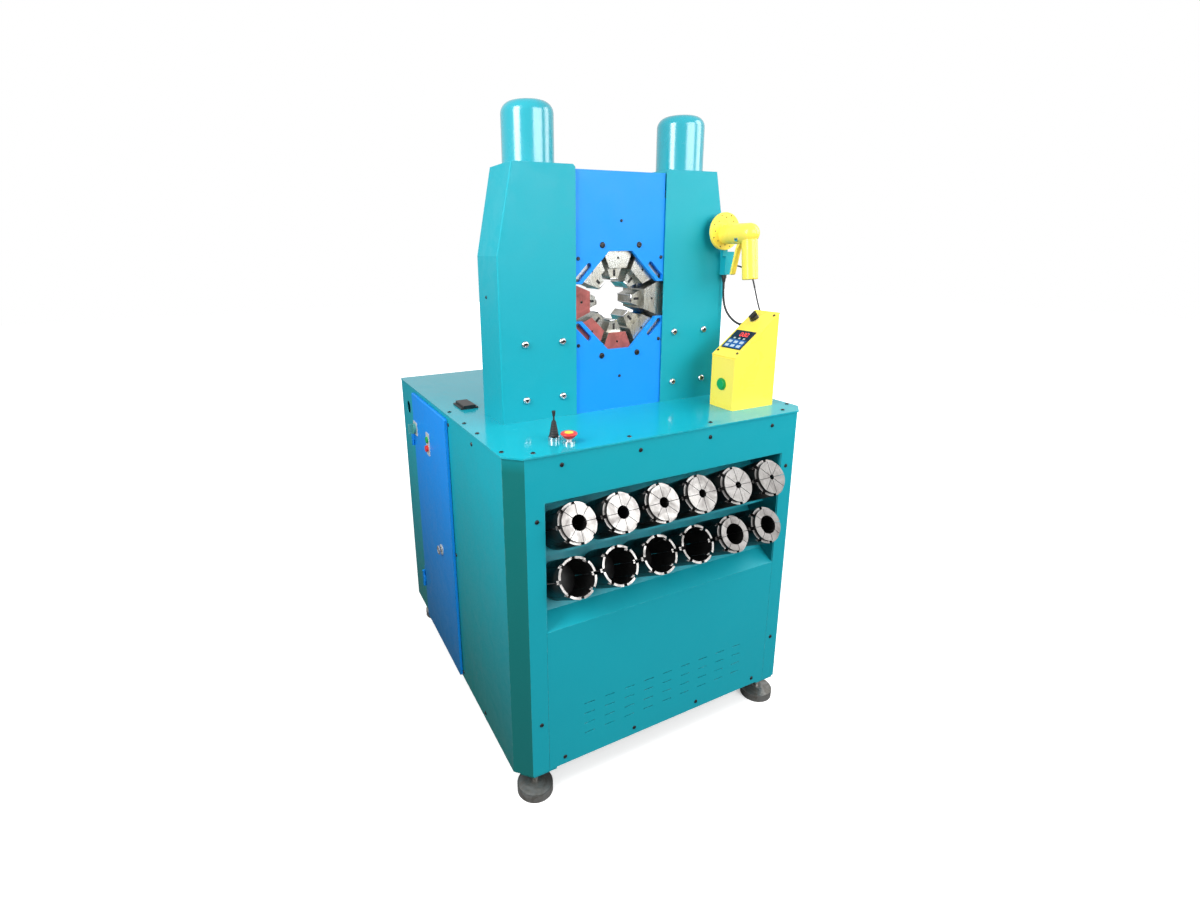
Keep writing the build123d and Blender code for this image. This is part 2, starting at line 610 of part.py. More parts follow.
# ================================================================ hydraulic unit inside
tank_x, tank_y, tank_z = (-190.0, 330.0), (40.0, 420.0), (body_z + tube, 440.0)
tank_wall = 3.0
motor_x, motor_y, motor_r = 170.0, 230.0, 88.0
with BuildPart() as oil_tank:
    block(tank_x, tank_y, tank_z)
    fillet(oil_tank.edges().filter_by(Axis.Z), 14)
    block((tank_x[0] + tank_wall, tank_x[1] - tank_wall), (tank_y[0] + tank_wall, tank_y[1] - tank_wall),
          (tank_z[0] + tank_wall, tank_z[1] - tank_wall), mode=Mode.SUBTRACT)
    block((tank_x[0] - 8, tank_x[1] + 8), (tank_y[0] - 8, tank_y[1] + 8), (tank_z[1], tank_z[1] + 6))
    rod((-120, 350, tank_z[1] + 6), (0, 0, 1), 40, 24)
save(oil_tank, "oil_tank")

with BuildPart() as pump_motor:
    base_z = tank_z[1] + 6
    rod((motor_x, motor_y, base_z), (0, 0, 1), 12, motor_r + 14)
    rod((motor_x, motor_y, base_z + 12), (0, 0, 1), 220, motor_r)
    rod((motor_x, motor_y, base_z + 232), (0, 0, 1), 40, motor_r - 6)
    block((motor_x - 45, motor_x + 45), (motor_y + motor_r - 8, motor_y + motor_r + 34), (base_z + 100, base_z + 180))
    fillet(pump_motor.faces().sort_by(Axis.Z)[-1].edges(), 10)
save(pump_motor, "pump_motor")

with BuildPart() as valve_block:
    block((-80, 20), (120, 220), (base_z, base_z + 90))
    for y in (145, 195):
        block((-65, 5), (y - 21, y + 21), (base_z + 90, base_z + 140))
        rod((5, y, base_z + 115), (1, 0, 0), 50, 18)
save(valve_block, "valve_block")


# ================================================================ controls on the table
base_ring_h = 4.0
collar_h = 9.0
collar_r = 14.5
collar_in_r = 13.0
ball_r = 4.0
ball_fit = 0.08
joy_pivot_z = table_z + base_ring_h + 2
with BuildPart() as joystick_base:
    with Locations((joy_x, joy_y, table_z)):
        Cylinder(collar_r, collar_h, align=(Align.CENTER, Align.CENTER, Align.MIN))
    with Locations((joy_x, joy_y, table_z + base_ring_h)):
        Cylinder(collar_in_r, collar_h, align=(Align.CENTER, Align.CENTER, Align.MIN), mode=Mode.SUBTRACT)
        Cylinder(7.0, 2.0, align=(Align.CENTER, Align.CENTER, Align.MIN))
    with Locations((joy_x, joy_y, joy_pivot_z)):
        Sphere(ball_r + ball_fit, mode=Mode.SUBTRACT)
    rod((joy_x, joy_y, table_z), (0, 0, -1), 42, shank_r)
    rod((joy_x, joy_y, panel_top), (0, 0, -1), 6, 15)
save(joystick_base, "joystick_base")

boot_z = joy_pivot_z + 4
with BuildPart() as joystick_lever:
    with Locations((joy_x, joy_y, joy_pivot_z)):
        Sphere(ball_r)
    rod((joy_x, joy_y, joy_pivot_z), (0, 0, 1), 66, 2.2)
    with Locations((joy_x, joy_y, boot_z)):
        Cone(11.5, 4.6, 38, align=(Align.CENTER, Align.CENTER, Align.MIN))
    with Locations((joy_x, joy_y, boot_z + 50)):
        Cone(3.4, 4.6, 12, align=(Align.CENTER, Align.CENTER, Align.MIN))
    fillet(joystick_lever.faces().sort_by(Axis.Z)[-1].edges(), 1.8)
save(joystick_lever, "joystick_lever")

estop_ring_h = 6.0
estop_stem_r = 7.0
estop_fit = 0.08
estop_travel_gap = 7.0
head_base_z = table_z + estop_ring_h + estop_travel_gap
with BuildPart() as estop_base:
    rod((estop_x, estop_y, table_z), (0, 0, 1), estop_ring_h, 15.0)
    rod((estop_x, estop_y, table_z), (0, 0, -1), 30, shank_r)
    rod((estop_x, estop_y, panel_top), (0, 0, -1), 6, 15)
    block((estop_x - 15, estop_x + 15), (estop_y - 15, estop_y + 15), (panel_top - 50, panel_top - 22))
    rod((estop_x, estop_y, table_z + estop_ring_h), (0, 0, -1), 32, estop_stem_r + estop_fit, mode=Mode.SUBTRACT)
save(estop_base, "estop_base")

stem_pin_r = 3.0
estop_head_r = 19.5
with BuildPart() as estop_plunger:
    rod((estop_x, estop_y, table_z + estop_ring_h - 24), (0, 0, 1), 24 + estop_travel_gap, estop_stem_r)
    rod((estop_x, estop_y, head_base_z), (0, 0, 1), 8, stem_pin_r)
save(estop_plunger, "estop_plunger")

with BuildPart() as estop_head:
    with Locations((estop_x, estop_y, head_base_z + 0.3)):
        Cone(12.5, estop_head_r, 8.2, align=(Align.CENTER, Align.CENTER, Align.MIN))
    with Locations((estop_x, estop_y, head_base_z + 8.5)):
        Cylinder(estop_head_r, 4.5, align=(Align.CENTER, Align.CENTER, Align.MIN))
    fillet(estop_head.faces().sort_by(Axis.Z)[-1].edges(), 3)
    rod((estop_x, estop_y, head_base_z), (0, 0, 1), 8.4, stem_pin_r + estop_fit, mode=Mode.SUBTRACT)
save(estop_head, "estop_head")

with BuildPart() as table_connector:
    block((connector_x - 25, connector_x + 25), (connector_y - 37, connector_y + 37), (table_z, table_z + 5))
    block((connector_x - 18, connector_x + 18), (connector_y - 37, connector_y + 37), (table_z, table_z + 11))
    fillet(table_connector.edges().filter_by(Axis.Y).group_by(Axis.Z)[-1], 2.5)
save(table_connector, "table_connector")

# ---------------------------------------------------------------- control box
slope_rise = (cbox_high_z - cbox_low_z) / (cbox_x1 - cbox_x0)
lid_drop = lid_t * slope_len / (cbox_x1 - cbox_x0)
green_y, green_z = cbox_y, table_z + 68
push_r = 14.0
push_hole_r = push_r + 0.08
bezel_r = 17.0
bezel_h = 3.0
knob_t = 151.0
knob_y = 15.0
knob_shaft_r = 3.0
panel_fit = 0.08
gland_r = 7.0
gland_len = 10.0
power_r = 3.25
sensor_r = 2.2


def slope_z(x):
    """Height of the sloped top at x."""
    return cbox_low_z + (x - cbox_x0) * slope_rise


with BuildPart() as control_box:
    prism_y([(cbox_x0, table_z), (cbox_x1, table_z), (cbox_x1, cbox_high_z - lid_drop),
             (cbox_x0, cbox_low_z - lid_drop)], (cbox_y0, cbox_y1))
    fillet(control_box.edges().filter_by(Axis.Z), 3)
    prism_y([(cbox_x0 + cbox_t, table_z + cbox_t), (cbox_x1 - cbox_t, table_z + cbox_t),
             (cbox_x1 - cbox_t, cbox_high_z + 9), (cbox_x0 + cbox_t, cbox_low_z + 9)],
            (cbox_y0 + cbox_t, cbox_y1 - cbox_t), mode=Mode.SUBTRACT)
    rod((cbox_x0 - 1, green_y, green_z), (1, 0, 0), cbox_t + 2, push_r + 0.5, mode=Mode.SUBTRACT)
save(control_box, "control_box")

with BuildPart() as control_lid:
    with Locations(slope_plane):
        Box(slope_len, cbox_y1 - cbox_y0, lid_t, align=(Align.MIN, Align.CENTER, Align.MAX))
    with Locations(slope_plane * Location((knob_t, knob_y, 0))):
        Cylinder(knob_shaft_r + 1.0, 4 * lid_t, mode=Mode.SUBTRACT)
    with Locations(slope_plane):
        with Locations((18, 38, 0), (18, -38, 0), (174, 38, 0), (174, -38, 0)):
            Cylinder(3.4, 1.6, align=(Align.CENTER, Align.CENTER, Align.MIN))
save(control_lid, "control_lid")

pad_t0, pad_t1, pad_half = 31.0, 102.0, 37.0
with BuildPart() as control_keypad:
    with Locations(slope_plane * Location(((pad_t0 + pad_t1) / 2, 2, 0))):
        Box(pad_t1 - pad_t0, 2 * pad_half, 1.6, align=(Align.CENTER, Align.CENTER, Align.MIN))
    with Locations(slope_plane * Location((pad_t1 - 16, -4, 1.6))):
        Box(20, 42, 0.8, align=(Align.CENTER, Align.CENTER, Align.MIN))
    with Locations(slope_plane * Location((pad_t0 + 18, 2, 1.6))):
        with Locations((7, -22, 0), (7, 0, 0), (7, 22, 0), (-8, -22, 0), (-8, 0, 0), (-8, 22, 0)):
            Box(9, 13, 0.8, align=(Align.CENTER, Align.CENTER, Align.MIN))
save(control_keypad, "control_keypad")

with BuildPart() as green_bezel:
    rod((cbox_x0, green_y, green_z), (-1, 0, 0), bezel_h, bezel_r)
    rod((cbox_x0 + cbox_t, green_y, green_z), (1, 0, 0), 26, bezel_r)
    rod((cbox_x0 - 9, green_y, green_z), (1, 0, 0), 26, push_hole_r, mode=Mode.SUBTRACT)

with BuildPart() as knob_bezel:
    with Locations(slope_plane * Location((knob_t, knob_y, 0))):
        Cylinder(13.5, 4, align=(Align.CENTER, Align.CENTER, Align.MIN))
    with Locations(slope_plane * Location((knob_t, knob_y, -lid_t))):
        Cylinder(13.5, 16, align=(Align.CENTER, Align.CENTER, Align.MAX))
    with Locations(slope_plane * Location((knob_t, knob_y, 5))):
        Cylinder(knob_shaft_r + panel_fit, 26, align=(Align.CENTER, Align.CENTER, Align.MAX), mode=Mode.SUBTRACT)

with BuildPart() as button_bezels:
    for piece in (green_bezel, knob_bezel):
        add(piece.part)
save(button_bezels, "button_bezels")

with BuildPart() as cycle_button:
    rod((cbox_x0 - bezel_h - 4, green_y, green_z), (1, 0, 0), bezel_h + 4 + cbox_t + 6, push_r)
    fillet(cycle_button.faces().sort_by(Axis.X)[0].edges(), 1.5)
save(cycle_button, "cycle_button")

with BuildPart() as selector_knob:
    with Locations(slope_plane * Location((knob_t, knob_y, 4.2))):
        Cylinder(11.5, 9, align=(Align.CENTER, Align.CENTER, Align.MIN))
        Box(24, 7, 16, align=(Align.CENTER, Align.CENTER, Align.MIN))
        Cylinder(knob_shaft_r, 18, align=(Align.CENTER, Align.CENTER, Align.MAX))
save(selector_knob, "selector_knob")

# ================================================================ crimp head
facet_x = (die_back - close_travel) * t8           # where the flat seat turns into the 22.5 degree face
facet_turn = (wedge - die_back - facet_x * t8) / (1 - t8)    # and where that turns into 45 degrees
saddle_relief = 8.0         # rear corners cut to clear the bent back of the covers
facet_turn_z = die_back - (facet_turn - facet_x) * t8
bowl = [(facet_x, die_back), (facet_turn, facet_turn_z), (wedge - lobe_gap, lobe_gap)]
saddle_y = (saddle_front_y, saddle_back_y)
die_y = (die_front_y, die_back_y)
closed_back = die_back - close_travel
full_stroke = 2 * (close_travel + open_travel)
side_play = die_play / 2 / cos(radians(22.5))


def at_head(points, sx=1, sz=1):
    """Head outlines are drawn about the crimp axis; flip them and lift them to it."""
    return [(sx * x, head_z + sz * z) for x, z in points]


def polar(points, angle):
    """(lateral, radial) points about the crimp axis, turned so that radial is at an angle from +X."""
    c, s = cos(radians(angle)), sin(radians(angle))
    return [(r * c - w * s, r * s + w * c) for w, r in points]


def saddle_outline(outer_points):
    """Right half of a saddle from its stepped seat, closed by its outer points and mirrored."""
    right = bowl + outer_points
    return right + [(-x, z) for x, z in right[::-1]]


with BuildPart() as lower_saddle:
    foot = head_z - panel_top
    prism_y(at_head(saddle_outline([(saddle_x, lobe_gap), (saddle_x, foot)]), sz=-1), saddle_y)
    for sx in (-1, 1):
        rod((sx * rod_x, rod_y, rod_foot_z), (0, 0, 1), head_z, rod_r + rod_fit, mode=Mode.SUBTRACT)
save(lower_saddle, "lower_saddle")

with BuildPart() as upper_saddle:
    lobe_top, mid_top = upper_lobe_z - head_z, upper_mid_z - head_z
    prism_y(at_head(saddle_outline([(saddle_x, lobe_gap), (saddle_x, lobe_top), (upper_mid_x, lobe_top),
                                    (upper_mid_x, mid_top)])), saddle_y)
    for sx in (-1, 1):
        rod((sx * rod_x, rod_y, head_z), (0, 0, 1), head_z, rod_r + rod_fit, mode=Mode.SUBTRACT)
    for sx in (-1, 1):
        prism(Plane.XY.offset(head_z), [(sx * (saddle_x - saddle_relief), saddle_back_y), (sx * saddle_x, saddle_back_y),
                                        (sx * saddle_x, saddle_back_y - saddle_relief)], head_z, Mode.SUBTRACT)
save(upper_saddle, "upper_saddle")


def plate_outline(outer_points):
    """Half of a retaining plate from the octagonal window outwards, mirrored."""
    window = [(plate_flat_x, plate_flat_z), (plate_flat_x + plate_flat_z - plate_gap, plate_gap), (plate_x, plate_gap)]
    right = window + outer_points
    return right + [(-x, z) for x, z in right[::-1]]


plate_y = ((saddle_front_y - plate_t, saddle_front_y), (saddle_back_y, saddle_back_y + plate_t))
narrow_z = upper_lobe_z - 20 - head_z
narrow_x = cover_in_x - 1.5
upper_plate = plate_outline([(plate_x, narrow_z), (narrow_x, narrow_z), (narrow_x, upper_mid_z + 2 - head_z)])
lower_plate = plate_outline([(plate_x, head_z - table_z)])
for label, outline, sz in (("upper_plates", upper_plate, 1), ("lower_plates", lower_plate, -1)):
    with BuildPart() as plates:
        for y in plate_y:
            prism_y(at_head(outline, sz=sz), y)
        for sx in (-1, 1):
            with BuildSketch(Plane.XZ.offset(-plate_y[1][1])) as slot:
                with Locations((sx * plate_slot_x, head_z + sz * (plate_slot_sum - plate_slot_x))):
                    SlotOverall(plate_slot_len, plate_slot_w, rotation=-45 * sx * sz)
            extrude(slot.sketch, amount=plate_y[1][1] - plate_y[0][0], mode=Mode.SUBTRACT)
    save(plates, label)


def plate_bolt_heads(sz):
    """Low round heads on the front plate."""
    for x, z, head_radius in plate_bolts:
        for px in {x, -x}:
            rod((px, plate_y[0][0], head_z + sz * z), (0, -1, 0), plate_bolt_h, head_radius)


with BuildPart() as upper_plate_bolts:
    plate_bolt_heads(1)
save(upper_plate_bolts, "upper_plate_bolts")

# ---------------------------------------------------------------- master dies and inserts
side_sum = wedge - slide_gap * sqrt(2) - close_travel
side_turn = (side_sum + side_play) / (1 + t8)
side_back = side_back_x - close_travel
facet_back = closed_back - slide_gap / cos(radians(22.5)) + facet_x * t8
corner_sum = wedge - close_travel - full_stroke * (sqrt(2) - 1) / 2 - 1.0
inner_sum = die_in_closed * sqrt(2)


def flared(inner, outer, step=0.0):
    """(lateral, radial) outline of an eighth between two radii, closed pose, less a step each side."""
    low, high = inner * t8 - side_play - step, outer * t8 - side_play - step
    return [(-low, inner), (low, inner), (high, outer), (-high, outer)]


def opened(points):
    """Move a (lateral, radial) outline from the closed to the drawn pose."""
    return [(w, r + close_travel) for w, r in points]


side_die = opened([(side_play - die_in_closed * t8, die_in_closed), (die_in_closed * t8 - side_play, die_in_closed),
                   (side_turn * t8 - side_play, side_turn), (side_sum - side_back, side_back),
                   (side_back - side_sum, side_back), (side_play - side_turn * t8, side_turn)])
inner_low = (inner_sum - side_play) / (1 + t8)
back_x = (t8 * facet_back + side_play) / (1 + t8 ** 2)
corner_x = (corner_sum - facet_back) / (1 - t8)
outer_x = (corner_sum - side_play) / (1 + t8)
shift = close_travel / sqrt(2)
corner_die = [(x + shift, z + shift) for x, z in (
    (inner_sum - inner_low, inner_low), (back_x, facet_back - back_x * t8), (corner_x, corner_sum - corner_x),
    (outer_x, corner_sum - outer_x), (inner_low, inner_sum - inner_low))]
hole_at = closed_back + close_travel - 28.0
die_hole_depth = 16.0
master_dies = (("top_die", 90, None), ("upper_right_die", 45, (1, 1)), ("right_die", 0, None),
               ("lower_right_die", -45, (1, -1)), ("bottom_die", -90, None), ("lower_left_die", -135, (-1, -1)),
               ("left_die", 180, None), ("upper_left_die", 135, (-1, 1)))
insert_y = (rod_y - insert_len / 2, rod_y + insert_len / 2)
for label, angle, quarter in master_dies:
    if quarter:
        outline = at_head(corner_die, *quarter)
    else:
        shape = side_die if angle in (0, 180) else opened(flared(die_in_closed, closed_back))
        outline = at_head(polar(shape, angle))
    (hole_x, hole_z), = at_head(polar([(0, hole_at)], angle))
    with BuildPart() as die:
        prism_y(outline, die_y)
        rod((hole_x, die_y[0] - 1, hole_z), (0, 1, 0), die_hole_depth, die_hole_r, mode=Mode.SUBTRACT)
        prism_y(at_head(polar(opened(flared(insert_in_closed, die_in_closed, insert_step)), angle)), insert_y)
    save(die, label)

# ---------------------------------------------------------------- cylinders
with BuildPart() as cylinder_barrels:
    for sx in (-1, 1):
        rod((sx * rod_x, rod_y, upper_lobe_z), (0, 0, 1), barrel_top_z - upper_lobe_z, barrel_r)
    fillet(cylinder_barrels.faces().group_by(Axis.Z)[-1].edges(), barrel_dome_r)
    for sx in (-1, 1):
        rod((sx * rod_x, rod_y, upper_lobe_z - 1), (0, 0, 1), barrel_top_z - barrel_cap_t - upper_lobe_z + 1,
            barrel_bore_r, mode=Mode.SUBTRACT)
save(cylinder_barrels, "cylinder_barrels")

with BuildPart() as piston_rods:
    for sx in (-1, 1):
        rod((sx * rod_x, rod_y, rod_foot_z), (0, 0, 1), piston_z - rod_foot_z, rod_r)
        rod((sx * rod_x, rod_y, piston_z), (0, 0, 1), piston_h, barrel_bore_r - piston_fit)
save(piston_rods, "piston_rods")

# ---------------------------------------------------------------- side covers
top_bevel = 6.5
cover_hole_r = 5.2
for label, sx in (("left_cover", -1), ("right_cover", 1)):
    with BuildPart() as cover:
        prism_y([(sx * cover_in_x, table_z), (sx * cover_x, table_z), (sx * cover_x, cover_kink_z),
                 (sx * cover_top_x, cover_top_z), (sx * (cover_in_x + top_bevel), cover_top_z),
                 (sx * cover_in_x, cover_top_z - top_bevel)], (cover_front_y, cover_back_y))
        outer = [edge for edge in cover.edges() if abs(edge.center().X) > (cover_x + cover_top_x) / 2 - 1
                 and abs(edge.tangent_at(0.5).Z) > 0.5]
        rear = [edge for edge in outer if edge.center().Y > rod_y]
        chamfer(rear, cover_rear_cut)
        front = [edge for edge in cover.edges() if abs(edge.center().X) > (cover_x + cover_top_x) / 2 - 1
                 and abs(edge.tangent_at(0.5).Z) > 0.5 and edge.center().Y < cover_front_y + 1]
        fillet(front, 4)
        inner_face = cover.faces().filter_by(Axis.X).sort_by(lambda f: abs(f.center().X))[0]
        offset(amount=-cover_t, openings=[cover.faces().sort_by(Axis.Z)[0], inner_face])
        rod((sx * rod_x, rod_y, cover_top_z - 20), (0, 0, 1), 30, barrel_r + cover_hole_gap, mode=Mode.SUBTRACT)
        for x in cover_bolt_x:
            for z in cover_bolt_z:
                rod((sx * x, cover_front_y - 1, z), (0, 1, 0), cover_t + 2, cover_hole_r, mode=Mode.SUBTRACT)
    save(cover, label)

cover_bolt_spots = [(sx * x, z) for sx in (-1, 1) for x in cover_bolt_x for z in cover_bolt_z]
with BuildPart() as head_bolts:
    for x, z in cover_bolt_spots:
        rod((x, cover_front_y, z), (0, -1, 0), cover_bolt_h, cover_bolt_r)
    fillet(head_bolts.faces().group_by(Axis.Y)[0].edges(), 3.5)
    for x, z in cover_bolt_spots:
        rod((x, cover_front_y, z), (0, 1, 0), saddle_front_y - cover_front_y, cover_hole_r)
        rod((x, cover_front_y + cover_t, z), (0, 1, 0), saddle_front_y - cover_front_y - cover_t, spacer_r)
    plate_bolt_heads(-1)
save(head_bolts, "head_bolts")

# ================================================================ quick-change tool
disc_back_y = tool_face_y + tool_disc_t
cradle_y = disc_back_y + cradle_gap
arm_x = (cover_x - 18.0, cover_x + 12.0)
arm_z = (1294.0, 1358.0)
arm_side = (cover_x, cover_x + 5.0)
arm_side_y = (cover_front_y - 1, -180.0)
stem_x = (arm_x[0] - 10.0, arm_x[0] + 6.0)
pin_spots = [(tool_x + tool_pin_pcr * cos(radians(a)), tool_z + tool_pin_pcr * sin(radians(a)))
             for a in (45, 135, 225, 315)]
with BuildPart() as tool_bracket:
    block(arm_x, (cradle_y, cover_front_y), arm_z)
    block(arm_side, arm_side_y, arm_z)
    block(stem_x, (cradle_y, cradle_y + 2 * cradle_t), (arm_z[1] - 12, tool_z))
    rod((tool_x, cradle_y, tool_z), (0, 1, 0), cradle_t, tool_disc_r - 5)
    for x, z in pin_spots:
        rod((x, cradle_y - 1, z), (0, 1, 0), 3 * cradle_t, tool_pin_r + tool_pin_fit, mode=Mode.SUBTRACT)
save(tool_bracket, "tool_bracket")

pivot_y, pivot_z = -336.0, 1392.0
lever_w = 14.0
lever_head_r = 9.0
pin_len = 12.0
lever_gap = 0.3
pivot_r = 3.0
grip_run = (tool_grip_low[0] - tool_grip_high[0], tool_grip_low[1] - tool_grip_high[1])
grip_len = sqrt(grip_run[0] ** 2 + grip_run[1] ** 2)
with BuildPart() as tool_head:
    rod((tool_x, tool_face_y, tool_z), (0, 1, 0), tool_disc_t, tool_disc_r)
    fillet(tool_head.edges().filter_by(GeomType.CIRCLE), 1.5)
    rod((tool_x, tool_face_y, tool_body_z), (0, -1, 0), tool_face_y - tool_grip_high[0], tool_body_r)
    with Locations((tool_x, tool_grip_high[0], tool_body_z)):
        Sphere(tool_body_r)
    rod((tool_x, *tool_grip_low), (0, -grip_run[0] / grip_len, -grip_run[1] / grip_len), grip_len, tool_grip_r)
    fillet(tool_head.faces().sort_by(Axis.Z)[0].edges(), 3)
    for radius, start in ((37.0, 0), (44.5, 22.5)):
        with Locations(Plane(origin=(tool_x, tool_face_y, tool_z), z_dir=(0, -1, 0))):
            with PolarLocations(radius, 8, start_angle=start):
                Cylinder(2.2, 8, mode=Mode.SUBTRACT)
    rod((tool_x - lever_w / 2 - lever_gap, pivot_y, pivot_z), (1, 0, 0), lever_w + 2 * lever_gap,
        lever_head_r + lever_gap, mode=Mode.SUBTRACT)
    block((tool_x - lever_w / 2 - lever_gap, tool_x + lever_w / 2 + lever_gap), (pivot_y - 12, pivot_y + 20),
          (tool_body_z - tool_body_r - 5, pivot_z), mode=Mode.SUBTRACT)
    rod((tool_x - tool_body_r + 4, pivot_y, pivot_z), (1, 0, 0), 2 * tool_body_r - 8, pivot_r)
    for x, z in pin_spots:
        rod((x, disc_back_y, z), (0, 1, 0), pin_len, tool_pin_r)
save(tool_head, "tool_head")

lever_knee = (-321.5, 1366.0)
lever_foot = (-305.0, 1296.0)
lever_half_t = 4.0
with BuildPart() as tool_trigger:
    x0 = tool_x - lever_w / 2
    rod((x0, pivot_y, pivot_z), (1, 0, 0), lever_w, lever_head_r)
    prism_x([(pivot_y - 6, pivot_z - 2), (pivot_y + 8, pivot_z - 2), (lever_knee[0] + lever_half_t, lever_knee[1]),
             (lever_foot[0] + lever_half_t, lever_foot[1] + 3), lever_foot,
             (lever_foot[0] - lever_half_t, lever_foot[1] + 3), (lever_knee[0] - lever_half_t, lever_knee[1])],
            (x0, x0 + lever_w))
    rod((x0 - 1, pivot_y, pivot_z), (1, 0, 0), lever_w + 2, pivot_r + 0.08, mode=Mode.SUBTRACT)
save(tool_trigger, "tool_trigger")

# ================================================================ cables between the head and the control box
power_out = (arm_x[0] + 8.0, -246.0, arm_z[0])
power_in = (362.0, cbox_y1, 1155.0)
sensor_out = (cover_x, -160.0, 1322.0)
sensor_in = (cbox_x1, -348.0, 1120.0)
with BuildPart() as cable_glands:
    rod(power_out, (0, 0, -1), gland_len, gland_r)
    rod(power_in, (0, 1, 0), gland_len, gland_r)
    rod(sensor_out, (1, 0, 0), gland_len, gland_r - 1)
    rod(sensor_in, (1, 0, 0), gland_len, gland_r - 1)
save(cable_glands, "cable_glands")

power_route = [(power_out[0], power_out[1], power_out[2] - gland_len), (343, -246, 1240), (346, -252, 1200),
               (353, -270, 1172), (power_in[0], -295, power_in[2]), (power_in[0], power_in[1] + gland_len, power_in[2])]
sensor_route = [(sensor_out[0] + gland_len, sensor_out[1], sensor_out[2]), (384, -160, 1322), (404, -176, 1321),
                (412, -212, 1319), (414, -250, 1312), (412, -288, 1288), (410, -304, 1252), (410, -317, 1218),
                (412, -328, 1190), (425, -342, 1163), (435, -346, 1138), (427, -348, 1120),
                (sensor_in[0] + gland_len, sensor_in[1], sensor_in[2])]


def cord_radii(points):
    """Arc at each corner: 0.45 of the shorter run over the tangent of half the turn."""
    radii = []
    for before, here, after in zip(points, points[1:], points[2:]):
        run_in, run_out = Vector(*here) - Vector(*before), Vector(*after) - Vector(*here)
        turn = radians(run_in.get_angle(run_out))
        radii.append(0.45 * min(run_in.length, run_out.length) / tan(turn / 2))
    return radii


for label, route, radius in (("power_cable", power_route, power_r), ("sensor_cable", sensor_route, sensor_r)):
    radii = cord_radii(route)
    print(label, "arc radii", [round(value, 1) for value in radii])
    with BuildPart() as cable:
        with BuildLine() as path:
            FilletPolyline(*route, radius=radii)
        with BuildSketch(Plane(origin=path.line @ 0, z_dir=path.line % 0)):
            Circle(radius)
        sweep(path=path.line)
    save(cable, label)
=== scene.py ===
"""Looks of a hose crimping machine: paint, machined steel, screws, controls, cables and a plain studio."""

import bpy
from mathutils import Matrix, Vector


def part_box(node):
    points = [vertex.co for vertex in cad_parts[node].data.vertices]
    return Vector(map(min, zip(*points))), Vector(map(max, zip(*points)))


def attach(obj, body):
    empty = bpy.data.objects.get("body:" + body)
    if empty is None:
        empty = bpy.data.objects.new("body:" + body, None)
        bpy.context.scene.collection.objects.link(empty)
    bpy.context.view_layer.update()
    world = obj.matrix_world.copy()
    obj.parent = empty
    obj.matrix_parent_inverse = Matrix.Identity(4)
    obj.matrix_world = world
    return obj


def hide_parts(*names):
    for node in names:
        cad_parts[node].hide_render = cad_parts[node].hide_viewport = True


bl_info = {
    "name": "Hose crimping machine",
    "version": (1, 0, 0),
    "blender": (4, 5, 0),
    "location": "3D View > Sidebar > Crimping machine",
    "description": "Finishes, fittings and studio of a hose crimping machine",
    "category": "Add Mesh",
}

import bmesh
import bpy
from bpy.props import FloatProperty, FloatVectorProperty, PointerProperty
from math import cos, pi, radians, sin, tan
from mathutils import Matrix, Vector

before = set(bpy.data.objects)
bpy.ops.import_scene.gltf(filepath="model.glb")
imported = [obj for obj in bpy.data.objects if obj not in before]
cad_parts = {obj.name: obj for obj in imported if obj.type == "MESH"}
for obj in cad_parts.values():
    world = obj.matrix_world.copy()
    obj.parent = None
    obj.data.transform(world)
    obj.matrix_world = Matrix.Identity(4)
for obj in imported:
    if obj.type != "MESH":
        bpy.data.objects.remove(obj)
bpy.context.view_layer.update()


# ---------------------------------------------------------------- settings
def colour(name, description, value):
    return FloatVectorProperty(name=name, description=description, subtype="COLOR", size=3, min=0, max=1,
                               default=value)


def length(name, description, value):
    return FloatProperty(name=name, description=description, subtype="DISTANCE", unit="LENGTH", min=0, default=value)


def share(name, description, value):
    return FloatProperty(name=name, description=description, subtype="FACTOR", min=0, max=1, default=value)


def power(name, description, value):
    return FloatProperty(name=name, description=description, unit="POWER", min=0, default=value)


class PaintSettings(bpy.types.PropertyGroup):
    teal: colour("Teal", "Powder coat of the cabinet, covers and cylinders", (0.006, 0.345, 0.425))
    blue: colour("Blue", "Powder coat of the door and the head's plates", (0.006, 0.275, 0.850))
    yellow: colour("Yellow", "Enamel of the control box and the tool", (1.0, 0.76, 0.085))
    gloss: share("Roughness", "Roughness of the powder coat", 0.42)
    peel: length("Orange peel", "Width of one bump in the powder coat", 0.0022)
    wear: share("Edge wear", "How far the paint is rubbed pale along its edges", 0.35)


class SteelSettings(bpy.types.PropertyGroup):
    ground: colour("Ground steel", "Ground faces of the saddles and dies", (0.60, 0.61, 0.57))
    stain: colour("Stain", "Oil and heat stains on the steel", (0.26, 0.21, 0.13))
    oxide: colour("Black oxide", "Blackened bodies of the stored die sets", (0.012, 0.013, 0.014))
    primer: colour("Red oxide", "Red primer on the faces of three master dies", (0.36, 0.085, 0.075))
    line: length("Grinding line", "Spacing of the grinding lines", 0.0012)


class CableSettings(bpy.types.PropertyGroup):
    power: length("Power cable", "Diameter of the cable from the arm to the control box", 0.0065)
    sensor: length("Sensor cable", "Diameter of the cable from the cover to the control box", 0.0044)
    relief: length("Strain relief", "Length of the tapered sleeve on a gland", 0.012)


